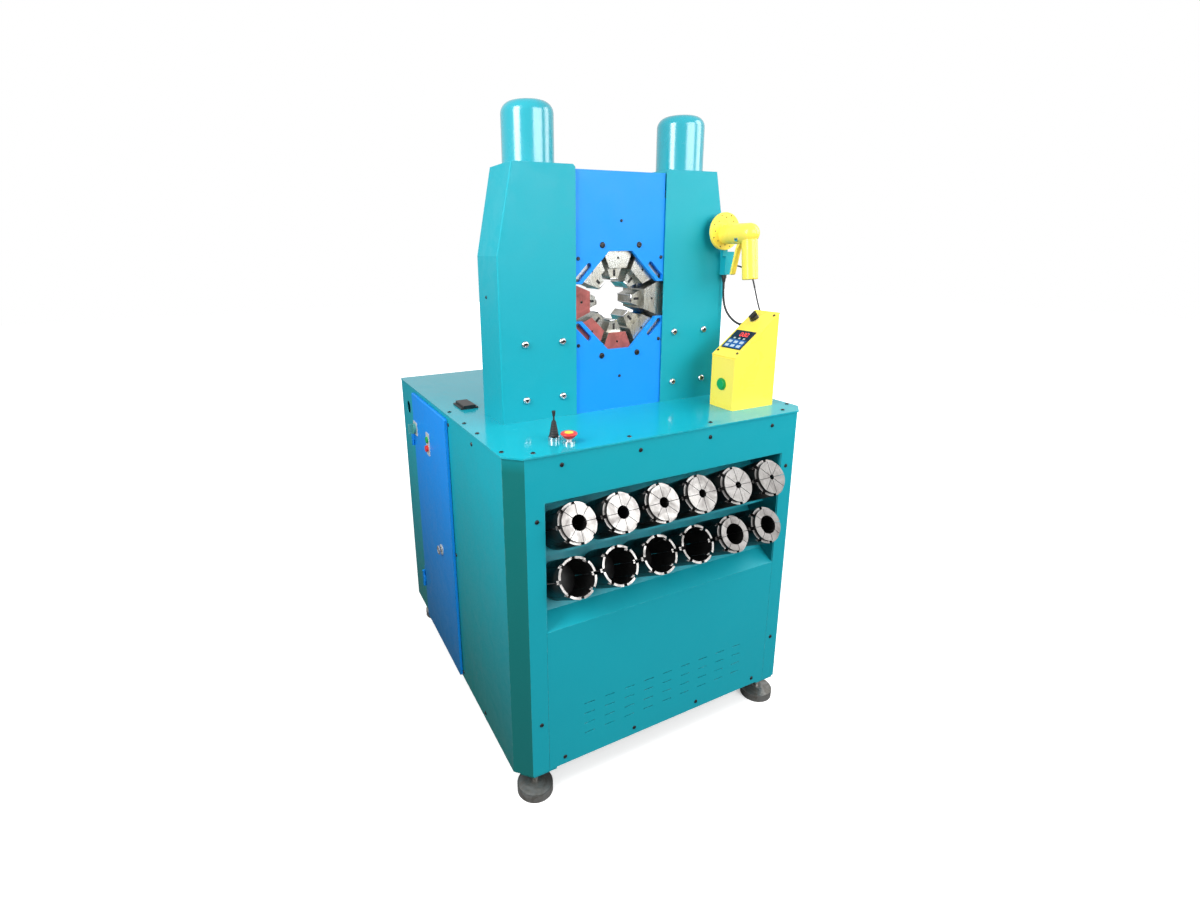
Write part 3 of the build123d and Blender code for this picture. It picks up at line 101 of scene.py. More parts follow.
class StageSettings(bpy.types.PropertyGroup):
    floor: colour("Floor", "Colour of the floor", (0.90, 0.90, 0.90))
    sky: FloatProperty(name="Sky", description="Strength of the even light from above", min=0, default=0.62)
    mirror: FloatProperty(name="Mirrored sky", description="Strength of the sky in shiny faces", min=0, default=0.70)
    shade: share("Floor bounce", "How much light the floor throws back", 0.22)
    key: power("Key lamp", "Power of the tall lamp on the left", 42)
    fill: power("Fill lamp", "Power of the tall lamp on the right", 14)
    front: power("Front lamp", "Power of the wide lamp above the operator", 74)


def settings():
    return bpy.context.scene.crimping_machine


# ---------------------------------------------------------------- shader tools
def shader(tree, kind, inputs=None, **options):
    """A shader node: options set its properties, inputs hold values or sockets to link."""
    made = tree.nodes.new("ShaderNode" + kind)
    for key, value in options.items():
        setattr(made, key, value)
    for key, value in (inputs or {}).items():
        if isinstance(value, bpy.types.NodeSocket):
            tree.links.new(value, made.inputs[key])
        else:
            made.inputs[key].default_value = value
    return made


def new_group(name, inputs, outputs):
    """An empty node group with its sockets: returns the tree, its inputs and its output node."""
    tree = bpy.data.node_groups.new(name, "ShaderNodeTree")
    for label, kind, value in inputs:
        socket = tree.interface.new_socket(name=label, in_out="INPUT", socket_type="NodeSocket" + kind)
        socket.default_value = value
    for label, kind in outputs:
        tree.interface.new_socket(name=label, in_out="OUTPUT", socket_type="NodeSocket" + kind)
    return tree, tree.nodes.new("NodeGroupInput").outputs, tree.nodes.new("NodeGroupOutput")


def mix(tree, factor, a, b, blend="MIX"):
    made = tree.nodes.new("ShaderNodeMix")
    made.data_type, made.blend_type = "RGBA", blend
    for index, value in ((0, factor), (6, a), (7, b)):
        if isinstance(value, bpy.types.NodeSocket):
            tree.links.new(value, made.inputs[index])
        else:
            made.inputs[index].default_value = value
    return made.outputs[2]


def maths(tree, operation, a, b=0.0, clamp=False):
    made = tree.nodes.new("ShaderNodeMath")
    made.operation, made.use_clamp = operation, clamp
    for index, value in enumerate((a, b)):
        if isinstance(value, bpy.types.NodeSocket):
            tree.links.new(value, made.inputs[index])
        else:
            made.inputs[index].default_value = value
    return made.outputs[0]


def ramp(tree, value, low, high, to_low=0.0, to_high=1.0):
    made = shader(tree, "MapRange", {"Value": value, "From Min": low, "From Max": high, "To Min": to_low,
                                     "To Max": to_high})
    return made.outputs[0]


def edge_wear_group():
    """Mask of the edges, broken up by noise."""
    tree, given, out = new_group("Edge wear", [("Width", "Float", 0.002), ("Amount", "Float", 0.5),
                                               ("Scale", "Float", 60.0)], [("Mask", "Float")])
    bevel = shader(tree, "Bevel", {"Radius": given["Width"]}, samples=4)
    flat = shader(tree, "NewGeometry")
    dot = shader(tree, "VectorMath", operation="DOT_PRODUCT")
    tree.links.new(bevel.outputs[0], dot.inputs[0])
    tree.links.new(flat.outputs["Normal"], dot.inputs[1])
    place = shader(tree, "TexCoord").outputs["Object"]
    noise = shader(tree, "TexNoise", {"Vector": place, "Scale": given["Scale"], "Detail": 6.0, "Roughness": 0.65})
    edge = ramp(tree, dot.outputs["Value"], 0.995, 0.90)
    broken = ramp(tree, noise.outputs[0], 0.45, 0.65)
    mask = maths(tree, "MULTIPLY", maths(tree, "MULTIPLY", edge, broken), given["Amount"], clamp=True)
    tree.links.new(mask, out.inputs["Mask"])
    return tree


# Tint multiplied into the paint as painted shade on the left side and the cut corner facets.
PAINTED_SHADE_TINT = (0.55, 0.36, 0.26, 1)


def painted_shade_mask(tree, amount):
    """Painted shade: left-facing sides darker towards the bottom, and the cut corner facets darker below the worktop.
    """
    spot = shader(tree, "NewGeometry")
    height = shader(tree, "SeparateXYZ", {"Vector": spot.outputs["Position"]}).outputs["Z"]
    faced = shader(tree, "SeparateXYZ", {"Vector": spot.outputs["True Normal"]})
    leftward = ramp(tree, faced.outputs["X"], -0.45, -0.95)
    corner = maths(tree, "MULTIPLY", ramp(tree, faced.outputs["X"], -0.45, -0.65),
                   ramp(tree, faced.outputs["Y"], -0.45, -0.65))
    low = maths(tree, "MULTIPLY", leftward, ramp(tree, height, 0.85, 0.08))
    under_top = maths(tree, "MULTIPLY", corner, ramp(tree, height, 1.0, 0.9))
    return maths(tree, "MULTIPLY", maths(tree, "ADD", low, under_top, clamp=True), amount, clamp=True)


def edge_wear(tree, width, amount):
    """The edge wear mask; amount is a number or a socket."""
    wear = tree.nodes.new("ShaderNodeGroup")
    wear.node_tree = groups["edge wear"]
    wear.inputs["Width"].default_value = width
    if isinstance(amount, bpy.types.NodeSocket):
        tree.links.new(amount, wear.inputs["Amount"])
    else:
        wear.inputs["Amount"].default_value = amount
    return wear.outputs[0]


def powder_coat_group():
    """Pebbled paint: colour with slow variation, pale specks and painted shade (left sides darker towards the bottom,
    corner facets below the worktop darker), roughness, bump height.
    """
    tree, given, out = new_group(
        "Powder coat", [("Colour", "Color", (0.5, 0.5, 0.5, 1)), ("Worn", "Color", (0.6, 0.6, 0.6, 1)),
                        ("Wear", "Float", 0.3), ("Scale", "Float", 450.0), ("Roughness", "Float", 0.35),
                        ("Mottle", "Float", 0.25), ("Grime", "Float", 0.0)],
        [("Colour", "Color"), ("Roughness", "Float"), ("Height", "Float")])
    place = shader(tree, "TexCoord").outputs["Object"]
    peel = shader(tree, "TexNoise", {"Vector": place, "Scale": given["Scale"], "Detail": 3.0, "Roughness": 0.5})
    speck = shader(tree, "TexVoronoi", {"Vector": place, "Scale": maths(tree, "MULTIPLY", given["Scale"], 1.6)})
    cloud = shader(tree, "TexNoise", {"Vector": place, "Scale": 3.2, "Detail": 5.0, "Roughness": 0.55})
    smear = shader(tree, "TexNoise", {"Vector": place, "Scale": 14.0, "Detail": 7.0, "Roughness": 0.7,
                                      "Distortion": 0.6})
    dim = mix(tree, maths(tree, "MULTIPLY", ramp(tree, cloud.outputs[0], 0.35, 0.7), given["Mottle"]),
              given["Colour"], (0.82, 0.86, 0.90, 1), "MULTIPLY")
    pebbled = mix(tree, ramp(tree, peel.outputs[0], 0.52, 0.36, 0.0, 0.16), dim, (0.70, 0.78, 0.80, 1), "MULTIPLY")
    flecked = mix(tree, ramp(tree, speck.outputs["Distance"], 0.16, 0.05, 0.0, 0.10), pebbled, given["Worn"])
    worn = mix(tree, edge_wear(tree, 0.0022, given["Wear"]), flecked, given["Worn"])
    # Painted shade: the tint darkens left-facing sides towards the bottom and the corner facets below the worktop.
    shade_painted = mix(tree, painted_shade_mask(tree, given["Grime"]), worn, PAINTED_SHADE_TINT, "MULTIPLY")
    tree.links.new(shade_painted, out.inputs["Colour"])
    rough = maths(tree, "ADD", given["Roughness"], ramp(tree, smear.outputs[0], 0.4, 0.7, -0.05, 0.14), clamp=True)
    tree.links.new(rough, out.inputs["Roughness"])
    bump = maths(tree, "ADD", peel.outputs[0], maths(tree, "MULTIPLY", speck.outputs["Distance"], 0.35))
    tree.links.new(bump, out.inputs["Height"])
    return tree


def machined_group():
    """Ground steel: grinding lines, cloudy oil stain, bright edges."""
    tree, given, out = new_group(
        "Machined steel", [("Colour", "Color", (0.5, 0.5, 0.5, 1)), ("Stain", "Color", (0.3, 0.2, 0.1, 1)),
                           ("Staining", "Float", 0.5), ("Stretch", "Vector", (1.0, 1.0, 40.0)),
                           ("Roughness", "Float", 0.3), ("Blotch", "Float", 22.0)],
        [("Colour", "Color"), ("Roughness", "Float"), ("Height", "Float")])
    place = shader(tree, "TexCoord").outputs["Object"]
    along = shader(tree, "VectorMath", operation="MULTIPLY")
    tree.links.new(place, along.inputs[0])
    tree.links.new(given["Stretch"], along.inputs[1])
    lines = shader(tree, "TexNoise", {"Vector": along.outputs[0], "Scale": float(LINES_PER_UNIT),
                                      "Detail": 4.0, "Roughness": 0.7})
    blotch = shader(tree, "TexNoise", {"Vector": place, "Scale": given["Blotch"], "Detail": 8.0, "Roughness": 0.6,
                                       "Distortion": 1.2})
    stain = maths(tree, "MULTIPLY", ramp(tree, blotch.outputs[0], 0.42, 0.66), given["Staining"])
    ground = mix(tree, ramp(tree, lines.outputs[0], 0.35, 0.65, 0.0, 0.35), given["Colour"], (0.7, 0.7, 0.7, 1),
                 "MULTIPLY")
    oily = mix(tree, stain, ground, given["Stain"])
    bright = mix(tree, edge_wear(tree, 0.0009, 0.55), oily, (0.8, 0.8, 0.8, 1))
    tree.links.new(bright, out.inputs["Colour"])
    rough = maths(tree, "ADD", given["Roughness"], ramp(tree, lines.outputs[0], 0.3, 0.7, -0.08, 0.16), clamp=True)
    tree.links.new(maths(tree, "ADD", rough, maths(tree, "MULTIPLY", stain, 0.2), clamp=True),
                   out.inputs["Roughness"])
    tree.links.new(lines.outputs[0], out.inputs["Height"])
    return tree


def moulded_group():
    """Moulded plastic or rubber: fine grain, dull scuffs."""
    tree, given, out = new_group(
        "Moulded surface", [("Colour", "Color", (0.1, 0.1, 0.1, 1)), ("Scuff", "Color", (0.3, 0.3, 0.3, 1)),
                            ("Scuffing", "Float", 0.2), ("Scale", "Float", 900.0), ("Roughness", "Float", 0.45)],
        [("Colour", "Color"), ("Roughness", "Float"), ("Height", "Float")])
    place = shader(tree, "TexCoord").outputs["Object"]
    grain = shader(tree, "TexNoise", {"Vector": place, "Scale": given["Scale"], "Detail": 2.0})
    rub = shader(tree, "TexNoise", {"Vector": place, "Scale": 70.0, "Detail": 8.0, "Roughness": 0.7})
    mask = maths(tree, "MULTIPLY", ramp(tree, rub.outputs[0], 0.5, 0.75), given["Scuffing"])
    tone = mix(tree, ramp(tree, grain.outputs[0], 0.4, 0.65, 0.0, 0.2), given["Colour"], (0.75, 0.75, 0.75, 1),
               "MULTIPLY")
    tree.links.new(mix(tree, mask, tone, given["Scuff"]), out.inputs["Colour"])
    tree.links.new(maths(tree, "ADD", given["Roughness"], maths(tree, "MULTIPLY", mask, 0.5), clamp=True),
                   out.inputs["Roughness"])
    tree.links.new(grain.outputs[0], out.inputs["Height"])
    return tree


groups = {}


def build_groups():
    groups["edge wear"] = edge_wear_group()
    groups["powder coat"] = powder_coat_group()
    groups["machined"] = machined_group()
    groups["moulded"] = moulded_group()


def finish(name, group, values, metallic=0.0, bump=0.1, distance=0.0004, **shader_values):
    """A material: one surface group feeds a Principled shader and its bump."""
    made = bpy.data.materials.new(name)
    made.use_nodes = True
    tree = made.node_tree
    tree.nodes.clear()
    surface = tree.nodes.new("ShaderNodeGroup")
    surface.node_tree = groups[group]
    for key, value in values.items():
        if key in ("Colour", "Worn", "Stain", "Scuff") and len(value) == 3:
            value = (*value, 1)
        surface.inputs[key].default_value = value
    body = tree.nodes.new("ShaderNodeBsdfPrincipled")
    body.inputs["Metallic"].default_value = metallic
    for key, value in shader_values.items():
        body.inputs[key.replace("_", " ")].default_value = value
    relief = shader(tree, "Bump", {"Strength": bump, "Distance": distance, "Height": surface.outputs["Height"]})
    tree.links.new(surface.outputs["Colour"], body.inputs["Base Color"])
    tree.links.new(surface.outputs["Roughness"], body.inputs["Roughness"])
    tree.links.new(relief.outputs[0], body.inputs["Normal"])
    out = tree.nodes.new("ShaderNodeOutputMaterial")
    tree.links.new(body.outputs[0], out.inputs["Surface"])
    return made


def glow(name, tint, strength):
    """Lit segments of a display."""
    made = bpy.data.materials.new(name)
    made.use_nodes = True
    body = made.node_tree.nodes["Principled BSDF"]
    noise = shader(made.node_tree, "TexNoise", {"Scale": 400.0})
    lit = mix(made.node_tree, ramp(made.node_tree, noise.outputs[0], 0.3, 0.7, 0.0, 0.25), (*tint, 1),
              (*[0.6 * value for value in tint], 1))
    made.node_tree.links.new(lit, body.inputs["Base Color"])
    made.node_tree.links.new(lit, body.inputs["Emission Color"])
    body.inputs["Emission Strength"].default_value = strength
    body.inputs["Roughness"].default_value = 0.3
    return made


materials = {}


TEAL_WORN, BLUE_WORN = (0.22, 0.62, 0.68), (0.20, 0.50, 0.90)
LINES_PER_UNIT = 26
PLASTICS = (
    # name, colour, roughness, scuffing
    ("black plastic", (0.012, 0.012, 0.013), 0.35, 0.15),
    ("grey plastic", (0.50, 0.54, 0.54), 0.42, 0.10),
    ("device plastic", (0.60, 0.61, 0.60), 0.40, 0.10),
    ("rubber", (0.014, 0.014, 0.015), 0.62, 0.25),
    ("green", (0.01, 0.36, 0.07), 0.28, 0.08),
    ("red", (0.72, 0.035, 0.025), 0.28, 0.10),
    ("label yellow", (0.95, 0.75, 0.05), 0.40, 0.05),
    ("knob teal", (0.07, 0.32, 0.30), 0.35, 0.10),
    ("panel dark", (0.012, 0.020, 0.045), 0.30, 0.05),
    ("panel blue", (0.015, 0.10, 0.34), 0.32, 0.05),
    ("key light", (0.55, 0.62, 0.68), 0.4, 0.1))
METALS = (
    # key, name, surface values, metallic, bump
    ("oxide face", "ground die face", {"Colour": (0.30, 0.29, 0.28), "Stain": (0.11, 0.10, 0.095),
                                       "Staining": 0.7, "Stretch": (18, 1, 1), "Roughness": 0.3}, 0.8, 0.12),
    ("screw", "blackened screw", {"Colour": (0.02, 0.021, 0.024), "Stain": (0.06, 0.06, 0.06),
                                  "Staining": 0.3, "Roughness": 0.3}, 0.6, 0.05),
    ("chrome", "bright plating", {"Colour": (0.72, 0.73, 0.75), "Stain": (0.4, 0.4, 0.4),
                                  "Staining": 0.25, "Roughness": 0.12}, 1.0, 0.03),
    ("foot", "dull foot steel", {"Colour": (0.36, 0.36, 0.35), "Stain": (0.10, 0.085, 0.06),
                                 "Staining": 0.7, "Stretch": (1, 1, 30), "Roughness": 0.32}, 0.85, 0.2),
    ("zinc", "zinc plate", {"Colour": (0.55, 0.56, 0.57), "Stain": (0.42, 0.43, 0.45),
                            "Staining": 0.5, "Roughness": 0.38}, 0.7, 0.1))


def tinted(value, factor, lift=0.0):
    return tuple(min(1.0, channel * factor + lift) for channel in value)


def build_materials():
    paint, steel = settings().paint, settings().steel
    coat = {"Scale": 1 / paint.peel, "Roughness": paint.gloss, "Wear": paint.wear}
    # The teal and blue coats carry painted shade at 0.9: left sides darker towards the bottom, corner facets darker.
    for name, tint, pale in (("teal", paint.teal, TEAL_WORN), ("blue", paint.blue, BLUE_WORN)):
        materials[name] = finish(f"{name} powder coat", "powder coat",
                                 {**coat, "Colour": tint, "Worn": pale, "Grime": 0.9},
                                 bump=0.14, distance=0.0005, Specular_IOR_Level=0.22)
    materials["gloss teal"] = finish("glossy teal enamel", "powder coat",
                                     {**coat, "Colour": paint.teal, "Worn": TEAL_WORN, "Roughness": 0.22},
                                     bump=0.14, distance=0.0005, Specular_IOR_Level=0.45, Coat_Weight=0.9,
                                     Coat_Roughness=0.16)
    # A glossier copy of the teal made 10% lighter for the worktop: the lighter tone is painted light on the
    # top-facing plate.
    materials["worktop lit copy"] = finish("worktop teal", "powder coat",
                                   {**coat, "Colour": tinted(paint.teal, 1.1), "Worn": TEAL_WORN,
                                    "Roughness": 0.14}, bump=0.05, distance=0.0004, Specular_IOR_Level=0.5)
    materials["yellow"] = finish("yellow enamel", "powder coat",
                                 {**coat, "Colour": paint.yellow, "Worn": (0.95, 0.85, 0.45), "Scale": 300.0,
                                  "Roughness": 0.3, "Mottle": 0.05, "Wear": 0.1},
                                 bump=0.06, distance=0.0005, Specular_IOR_Level=0.3, Coat_Weight=0.3,
                                 Coat_Roughness=0.1)
    # Painted glow: a weak emission makes the yellow enamel read brighter; the paint itself gives off no light.
    lit = materials["yellow"].node_tree.nodes["Principled BSDF"].inputs
    lit["Emission Color"].default_value = (1, 0.72, 0.12, 1)
    lit["Emission Strength"].default_value = 0.06
    materials["tank"] = finish("grey enamel", "powder coat", {**coat, "Colour": (0.13, 0.16, 0.18),
                                                              "Worn": (0.35, 0.37, 0.38)}, bump=0.12)
    materials["motor"] = finish("motor enamel", "powder coat", {**coat, "Colour": (0.03, 0.07, 0.14),
                                                                "Worn": (0.25, 0.3, 0.35)}, bump=0.12)
    grind = {"Colour": steel.ground, "Stain": steel.stain}
    spacing = 1 / (LINES_PER_UNIT * steel.line)
    materials["saddle"] = finish("saddle steel", "machined", {**grind, "Staining": 0.55, "Stretch": (1, 1, spacing)},
                                 metallic=0.85, bump=0.2)
    materials["die"] = finish("die steel", "machined", {**grind, "Staining": 0.55, "Stretch": (spacing, 1, 1),
                                                        "Roughness": 0.20}, metallic=0.9, bump=0.15)
    materials["red die"] = finish("primed die face", "machined",
                                  {"Colour": tinted(steel.primer, 1.25), "Stain": tinted(steel.primer, 0.55),
                                   "Staining": 0.7, "Stretch": (1, 1, 1), "Roughness": 0.42, "Blotch": 30.0},
                                  metallic=0.1, bump=0.12)
    materials["oxide"] = finish("black oxide", "machined", {"Colour": steel.oxide, "Stain": (0.05, 0.045, 0.04),
                                                            "Staining": 0.5, "Stretch": (1, 1, 12),
                                                            "Roughness": 0.33}, metallic=0.55, bump=0.12)
    # Near-black finish used as painted shade: in screw recesses, the disc's holes, the die slots and behind the vent
    # slots.
    materials["socket"] = finish("screw socket", "moulded", {"Colour": (0.006, 0.006, 0.007), "Scuffing": 0.1,
                                                             "Roughness": 0.6}, bump=0.05)
    for key, name, values, metallic, bump in METALS:
        materials[key] = finish(name, "machined", values, metallic=metallic, bump=bump)
    for name, tint, rough, scuffing in PLASTICS:
        materials[name] = finish(name, "moulded", {"Colour": tint, "Scuff": tinted(tint, 0.8, 0.12),
                                                   "Scuffing": scuffing, "Roughness": rough}, bump=0.06)
    materials["digits"] = glow("display digits", (1.0, 0.06, 0.04), 1.6)


def dress(node, name):
    """Give a CAD node its material."""
    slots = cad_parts[node].data.materials
    slots.clear()
    slots.append(materials[name])


def dress_faces(node, name, wanted):
    """Give the faces of a CAD node that pass a test, by middle and normal, a further material."""
    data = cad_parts[node].data
    data.materials.append(materials[name])
    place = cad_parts[node].matrix_world
    for face in data.polygons:
        if wanted(place @ face.center, face.normal):
            face.material_index = len(data.materials) - 1


# ---------------------------------------------------------------- mesh tools
def turned(mesh, profile, centre, axis, segments=32, socket=0.0):
    """Surface of revolution from (radius, height) points; with socket, its last three points make a hexagon."""
    turn = Vector(axis).to_track_quat("Z", "Y").to_matrix()
    rings = []
    for index, (radius, height) in enumerate(profile):
        hexagon = socket and index >= len(profile) - 3
        if radius <= 0:
            rings.append([mesh.verts.new(Vector(centre) + turn @ Vector((0, 0, height)))])
            continue
        ring = []
        for step in range(segments):
            angle = 2 * pi * step / segments
            reach = radius
            if hexagon:
                reach = socket / cos((angle + pi / 6) % (pi / 3) - pi / 6)
            ring.append(mesh.verts.new(Vector(centre) + turn @ Vector((reach * cos(angle), reach * sin(angle),
                                                                       height))))
        rings.append(ring)
    for lower, upper in zip(rings, rings[1:]):
        for step in range(segments):
            following = (step + 1) % segments
            if len(lower) == 1:
                corners = (lower[0], upper[following], upper[step])
            elif len(upper) == 1:
                corners = (lower[step], lower[following], upper[0])
            else:
                corners = (lower[step], lower[following], upper[following], upper[step])
            mesh.faces.new(corners)


def slab(mesh, low, high, round_off=0.0, matrix=None):
    """A block with rounded edges between two corners."""
    made = bmesh.ops.create_cube(mesh, size=1)["verts"]
    size = [high[i] - low[i] for i in range(3)]
    middle = [(high[i] + low[i]) / 2 for i in range(3)]
    bmesh.ops.scale(mesh, vec=size, verts=made)
    bmesh.ops.translate(mesh, vec=middle, verts=made)
    if round_off:
        edges = list({edge for vert in made for edge in vert.link_edges})
        result = bmesh.ops.bevel(mesh, geom=edges, offset=round_off, segments=2, profile=0.5, affect="EDGES")
        made = list({vert for face in result["faces"] for vert in face.verts})
    if matrix is not None:
        bmesh.ops.transform(mesh, matrix=matrix, verts=made)


SMOOTH_BELOW = radians(35)


def piece(name, mesh, body, finishes, replaced=()):
    """Turn a working mesh into a named piece that rides on a body."""
    bmesh.ops.recalc_face_normals(mesh, faces=mesh.faces)
    data = bpy.data.meshes.new(name)
    mesh.to_mesh(data)
    mesh.free()
    for label in finishes:
        data.materials.append(materials[label])
    data.shade_smooth()
    data.set_sharp_from_angle(angle=SMOOTH_BELOW)
    made = bpy.data.objects.new(name, data)
    bpy.context.scene.collection.objects.link(made)
    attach(made, body)
    if replaced:
        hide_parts(*replaced)


def islands(node):
    """(low, high) corners of each separate solid in a node."""
    work = bmesh.new()
    work.from_mesh(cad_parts[node].data)
    bmesh.ops.remove_doubles(work, verts=work.verts, dist=1e-6)
    seen, found = set(), []
    for start in work.verts:
        if start in seen:
            continue
        stack, corners = [start], []
        seen.add(start)
        while stack:
            vert = stack.pop()
            corners.append(vert.co.copy())
            for edge in vert.link_edges:
                other = edge.other_vert(vert)
                if other not in seen:
                    seen.add(other)
                    stack.append(other)
        found.append((Vector([min(c[i] for c in corners) for i in range(3)]),
                      Vector([max(c[i] for c in corners) for i in range(3)])))
    work.free()
    return found


SOCKET_SHARE = 0.42


def button_head(radius, height, socket):
    """Profile of a button-head screw with a hexagon socket."""
    return [(0, 0), (radius, 0), (radius * 0.98, height * 0.30), (radius * 0.84, height * 0.72),
            (radius * 0.62, height * 0.96), (socket * 1.25, height), (socket, height * 0.999),
            (socket, height * 0.35), (0, height * 0.35)]


# ---------------------------------------------------------------- operators
class CRIMP_OT_groups(bpy.types.Operator):
    """Build the shared surface effects and the machine's finishes"""
    bl_idname = "crimp.finishes"
    bl_label = "Finishes"

    def execute(self, context):
        build_groups()
        build_materials()
        return {"FINISHED"}


RACK_TILT = radians(30)
RACK_AHEAD = Vector((0, -cos(RACK_TILT), sin(RACK_TILT)))
SET_FRONT_Y, SET_LEN, SET_PITCH, SET_ROWS = -0.526, 0.125, 0.1175, (0.7716, 0.6327)
SPIGOT = (0.0003, 0.0095)
# Corners of a near-black sheet behind the vent slots: painted shade inside the open cabinet.
VENT_SHADE_LOW, VENT_SHADE_HIGH = (-0.275, -0.4945, 0.140), (0.275, -0.4935, 0.262)


class CRIMP_OT_cabinet(bpy.types.Operator):
    """Paint the cabinet, its frame, feet and inner units"""
    bl_idname = "crimp.cabinet"
    bl_label = "Cabinet"

    def execute(self, context):
        for node in ("base_frame", "front_surround", "front_panel", "die_rack", "left_side_panel", "right_side_panel",
                     "rear_panel"):
            dress(node, "teal")
        # The worktop gets the lighter teal copy: painted light on its top-facing plate.
        dress("top_plate", "worktop lit copy")
        dress("levelling_feet", "foot")

        # The rack's spigot faces are made black: painted shade that darkens the bores of the stored die sets.
        def on_shaded_spigot(middle, normal):
            return any(SPIGOT[0] < (middle - Vector((0, SET_FRONT_Y, row))).dot(RACK_AHEAD) + SET_LEN < SPIGOT[1]
                       for row in SET_ROWS)

        dress_faces("die_rack", "black plastic", on_shaded_spigot)
        # A near-black sheet behind the vent slots: painted shade, so the slots read dark rather than showing the
        # bright floor through them.
        mesh = bmesh.new()
        slab(mesh, VENT_SHADE_LOW, VENT_SHADE_HIGH, 0.0002)
        piece("vent_filter", mesh, "machine", ["socket"])
        dress("electrical_enclosure", "zinc")
        dress("electrical_components", "device plastic")
        dress("oil_tank", "tank")
        dress("pump_motor", "motor")
        dress("valve_block", "saddle")
        return {"FINISHED"}


class CRIMP_OT_panel_screws(bpy.types.Operator):
    """Make the socket screws that hold the cabinet's sheets"""
    bl_idname = "crimp.panel_screws"
    bl_label = "Panel screws"

    def execute(self, context):
        mesh = bmesh.new()
        for low, high in islands("panel_screws"):
            size, middle = high - low, (high + low) / 2
            thin = min(range(3), key=lambda i: size[i])
            axis = Vector((0, 0, 0))
            axis[thin] = 1 if thin == 2 or middle[thin] > 0 else -1
            base = middle - axis * size[thin] / 2
            radius = sorted(size)[1] / 2
            turned(mesh, button_head(radius, size[thin], radius * SOCKET_SHARE), base, axis, 24,
                   socket=radius * SOCKET_SHARE)
        piece("panel_screw_heads", mesh, "machine", ["screw"], ["panel_screws"])
        return {"FINISHED"}


class CRIMP_OT_head(bpy.types.Operator):
    """Finish the saddles, plates, covers, cylinders and rods"""
    bl_idname = "crimp.head"
    bl_label = "Crimp head"

    def execute(self, context):
        for node in ("left_cover", "right_cover"):
            dress(node, "teal")
        dress("cylinder_barrels", "gloss teal")
        for node in ("upper_plates", "lower_plates"):
            dress(node, "blue")
        for node in ("upper_saddle", "lower_saddle"):
            dress(node, "saddle")
        dress("piston_rods", "chrome")
        return {"FINISHED"}


class CRIMP_OT_head_screws(bpy.types.Operator):
    """Make the bright cover bolts and the black plate screws"""
    bl_idname = "crimp.head_screws"
    bl_label = "Head screws"

    def execute(self, context):
        bright, socket_shade, dark = bmesh.new(), bmesh.new(), bmesh.new()
        for low, high in islands("head_bolts"):
            middle = (low + high) / 2
            radius = (high.z - low.z) / 2
            if high.y - low.y > 0.01:
                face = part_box("left_cover")[0].y
                base = Vector((middle.x, face, middle.z))
                height = face - low.y
                turned(bright, [(0, 0), (radius, 0), (radius, height * 0.15), (radius * 0.97, height * 0.45),
                                (radius * 0.80, height * 0.85), (radius * 0.58, height), (radius * 0.5, height),
                                (radius * 0.5, height * 0.25), (0, height * 0.25)], base, (0, -1, 0), 36,
                       socket=radius * 0.46)
                # A near-black disc down in each bolt's hexagon recess: painted shade.
                turned(socket_shade, [(0, height * 0.26), (radius * 0.44, height * 0.26), (radius * 0.44, height * 0.34),
                                 (0, height * 0.34)], base, (0, -1, 0), 12)
            else:
                turned(dark, button_head(radius, high.y - low.y, radius * SOCKET_SHARE),
                       (middle.x, high.y, middle.z), (0, -1, 0), 24, socket=radius * SOCKET_SHARE)
        piece("cover_bolt_heads", bright, "machine", ["chrome"], ["head_bolts"])
        piece("cover_bolt_sockets", socket_shade, "machine", ["socket"])
        piece("lower_plate_screws", dark, "machine", ["screw"])
        above = bmesh.new()
        for low, high in islands("upper_plate_bolts"):
            middle, radius = (low + high) / 2, (high.z - low.z) / 2
            turned(above, button_head(radius, high.y - low.y, radius * SOCKET_SHARE),
                   (middle.x, high.y, middle.z), (0, -1, 0), 24, socket=radius * SOCKET_SHARE)
        piece("upper_plate_screws", above, "upper_head", ["screw"], ["upper_plate_bolts"])
        return {"FINISHED"}


CRIMP_Z = 1.235
JAW_IN, JAW_Y = 0.055, (-0.197, -0.127)
SCREW_REACH = 0.112
MASTER_DIES = {"bottom_die": -90, "top_die": 90, "left_die": 180, "right_die": 0, "lower_left_die": -135,
               "lower_right_die": -45, "upper_left_die": 135, "upper_right_die": 45}
DIE_BODY = {"bottom_die": "machine", "top_die": "upper_head"}
PRIMED_DIES = ("bottom_die", "left_die", "lower_left_die")


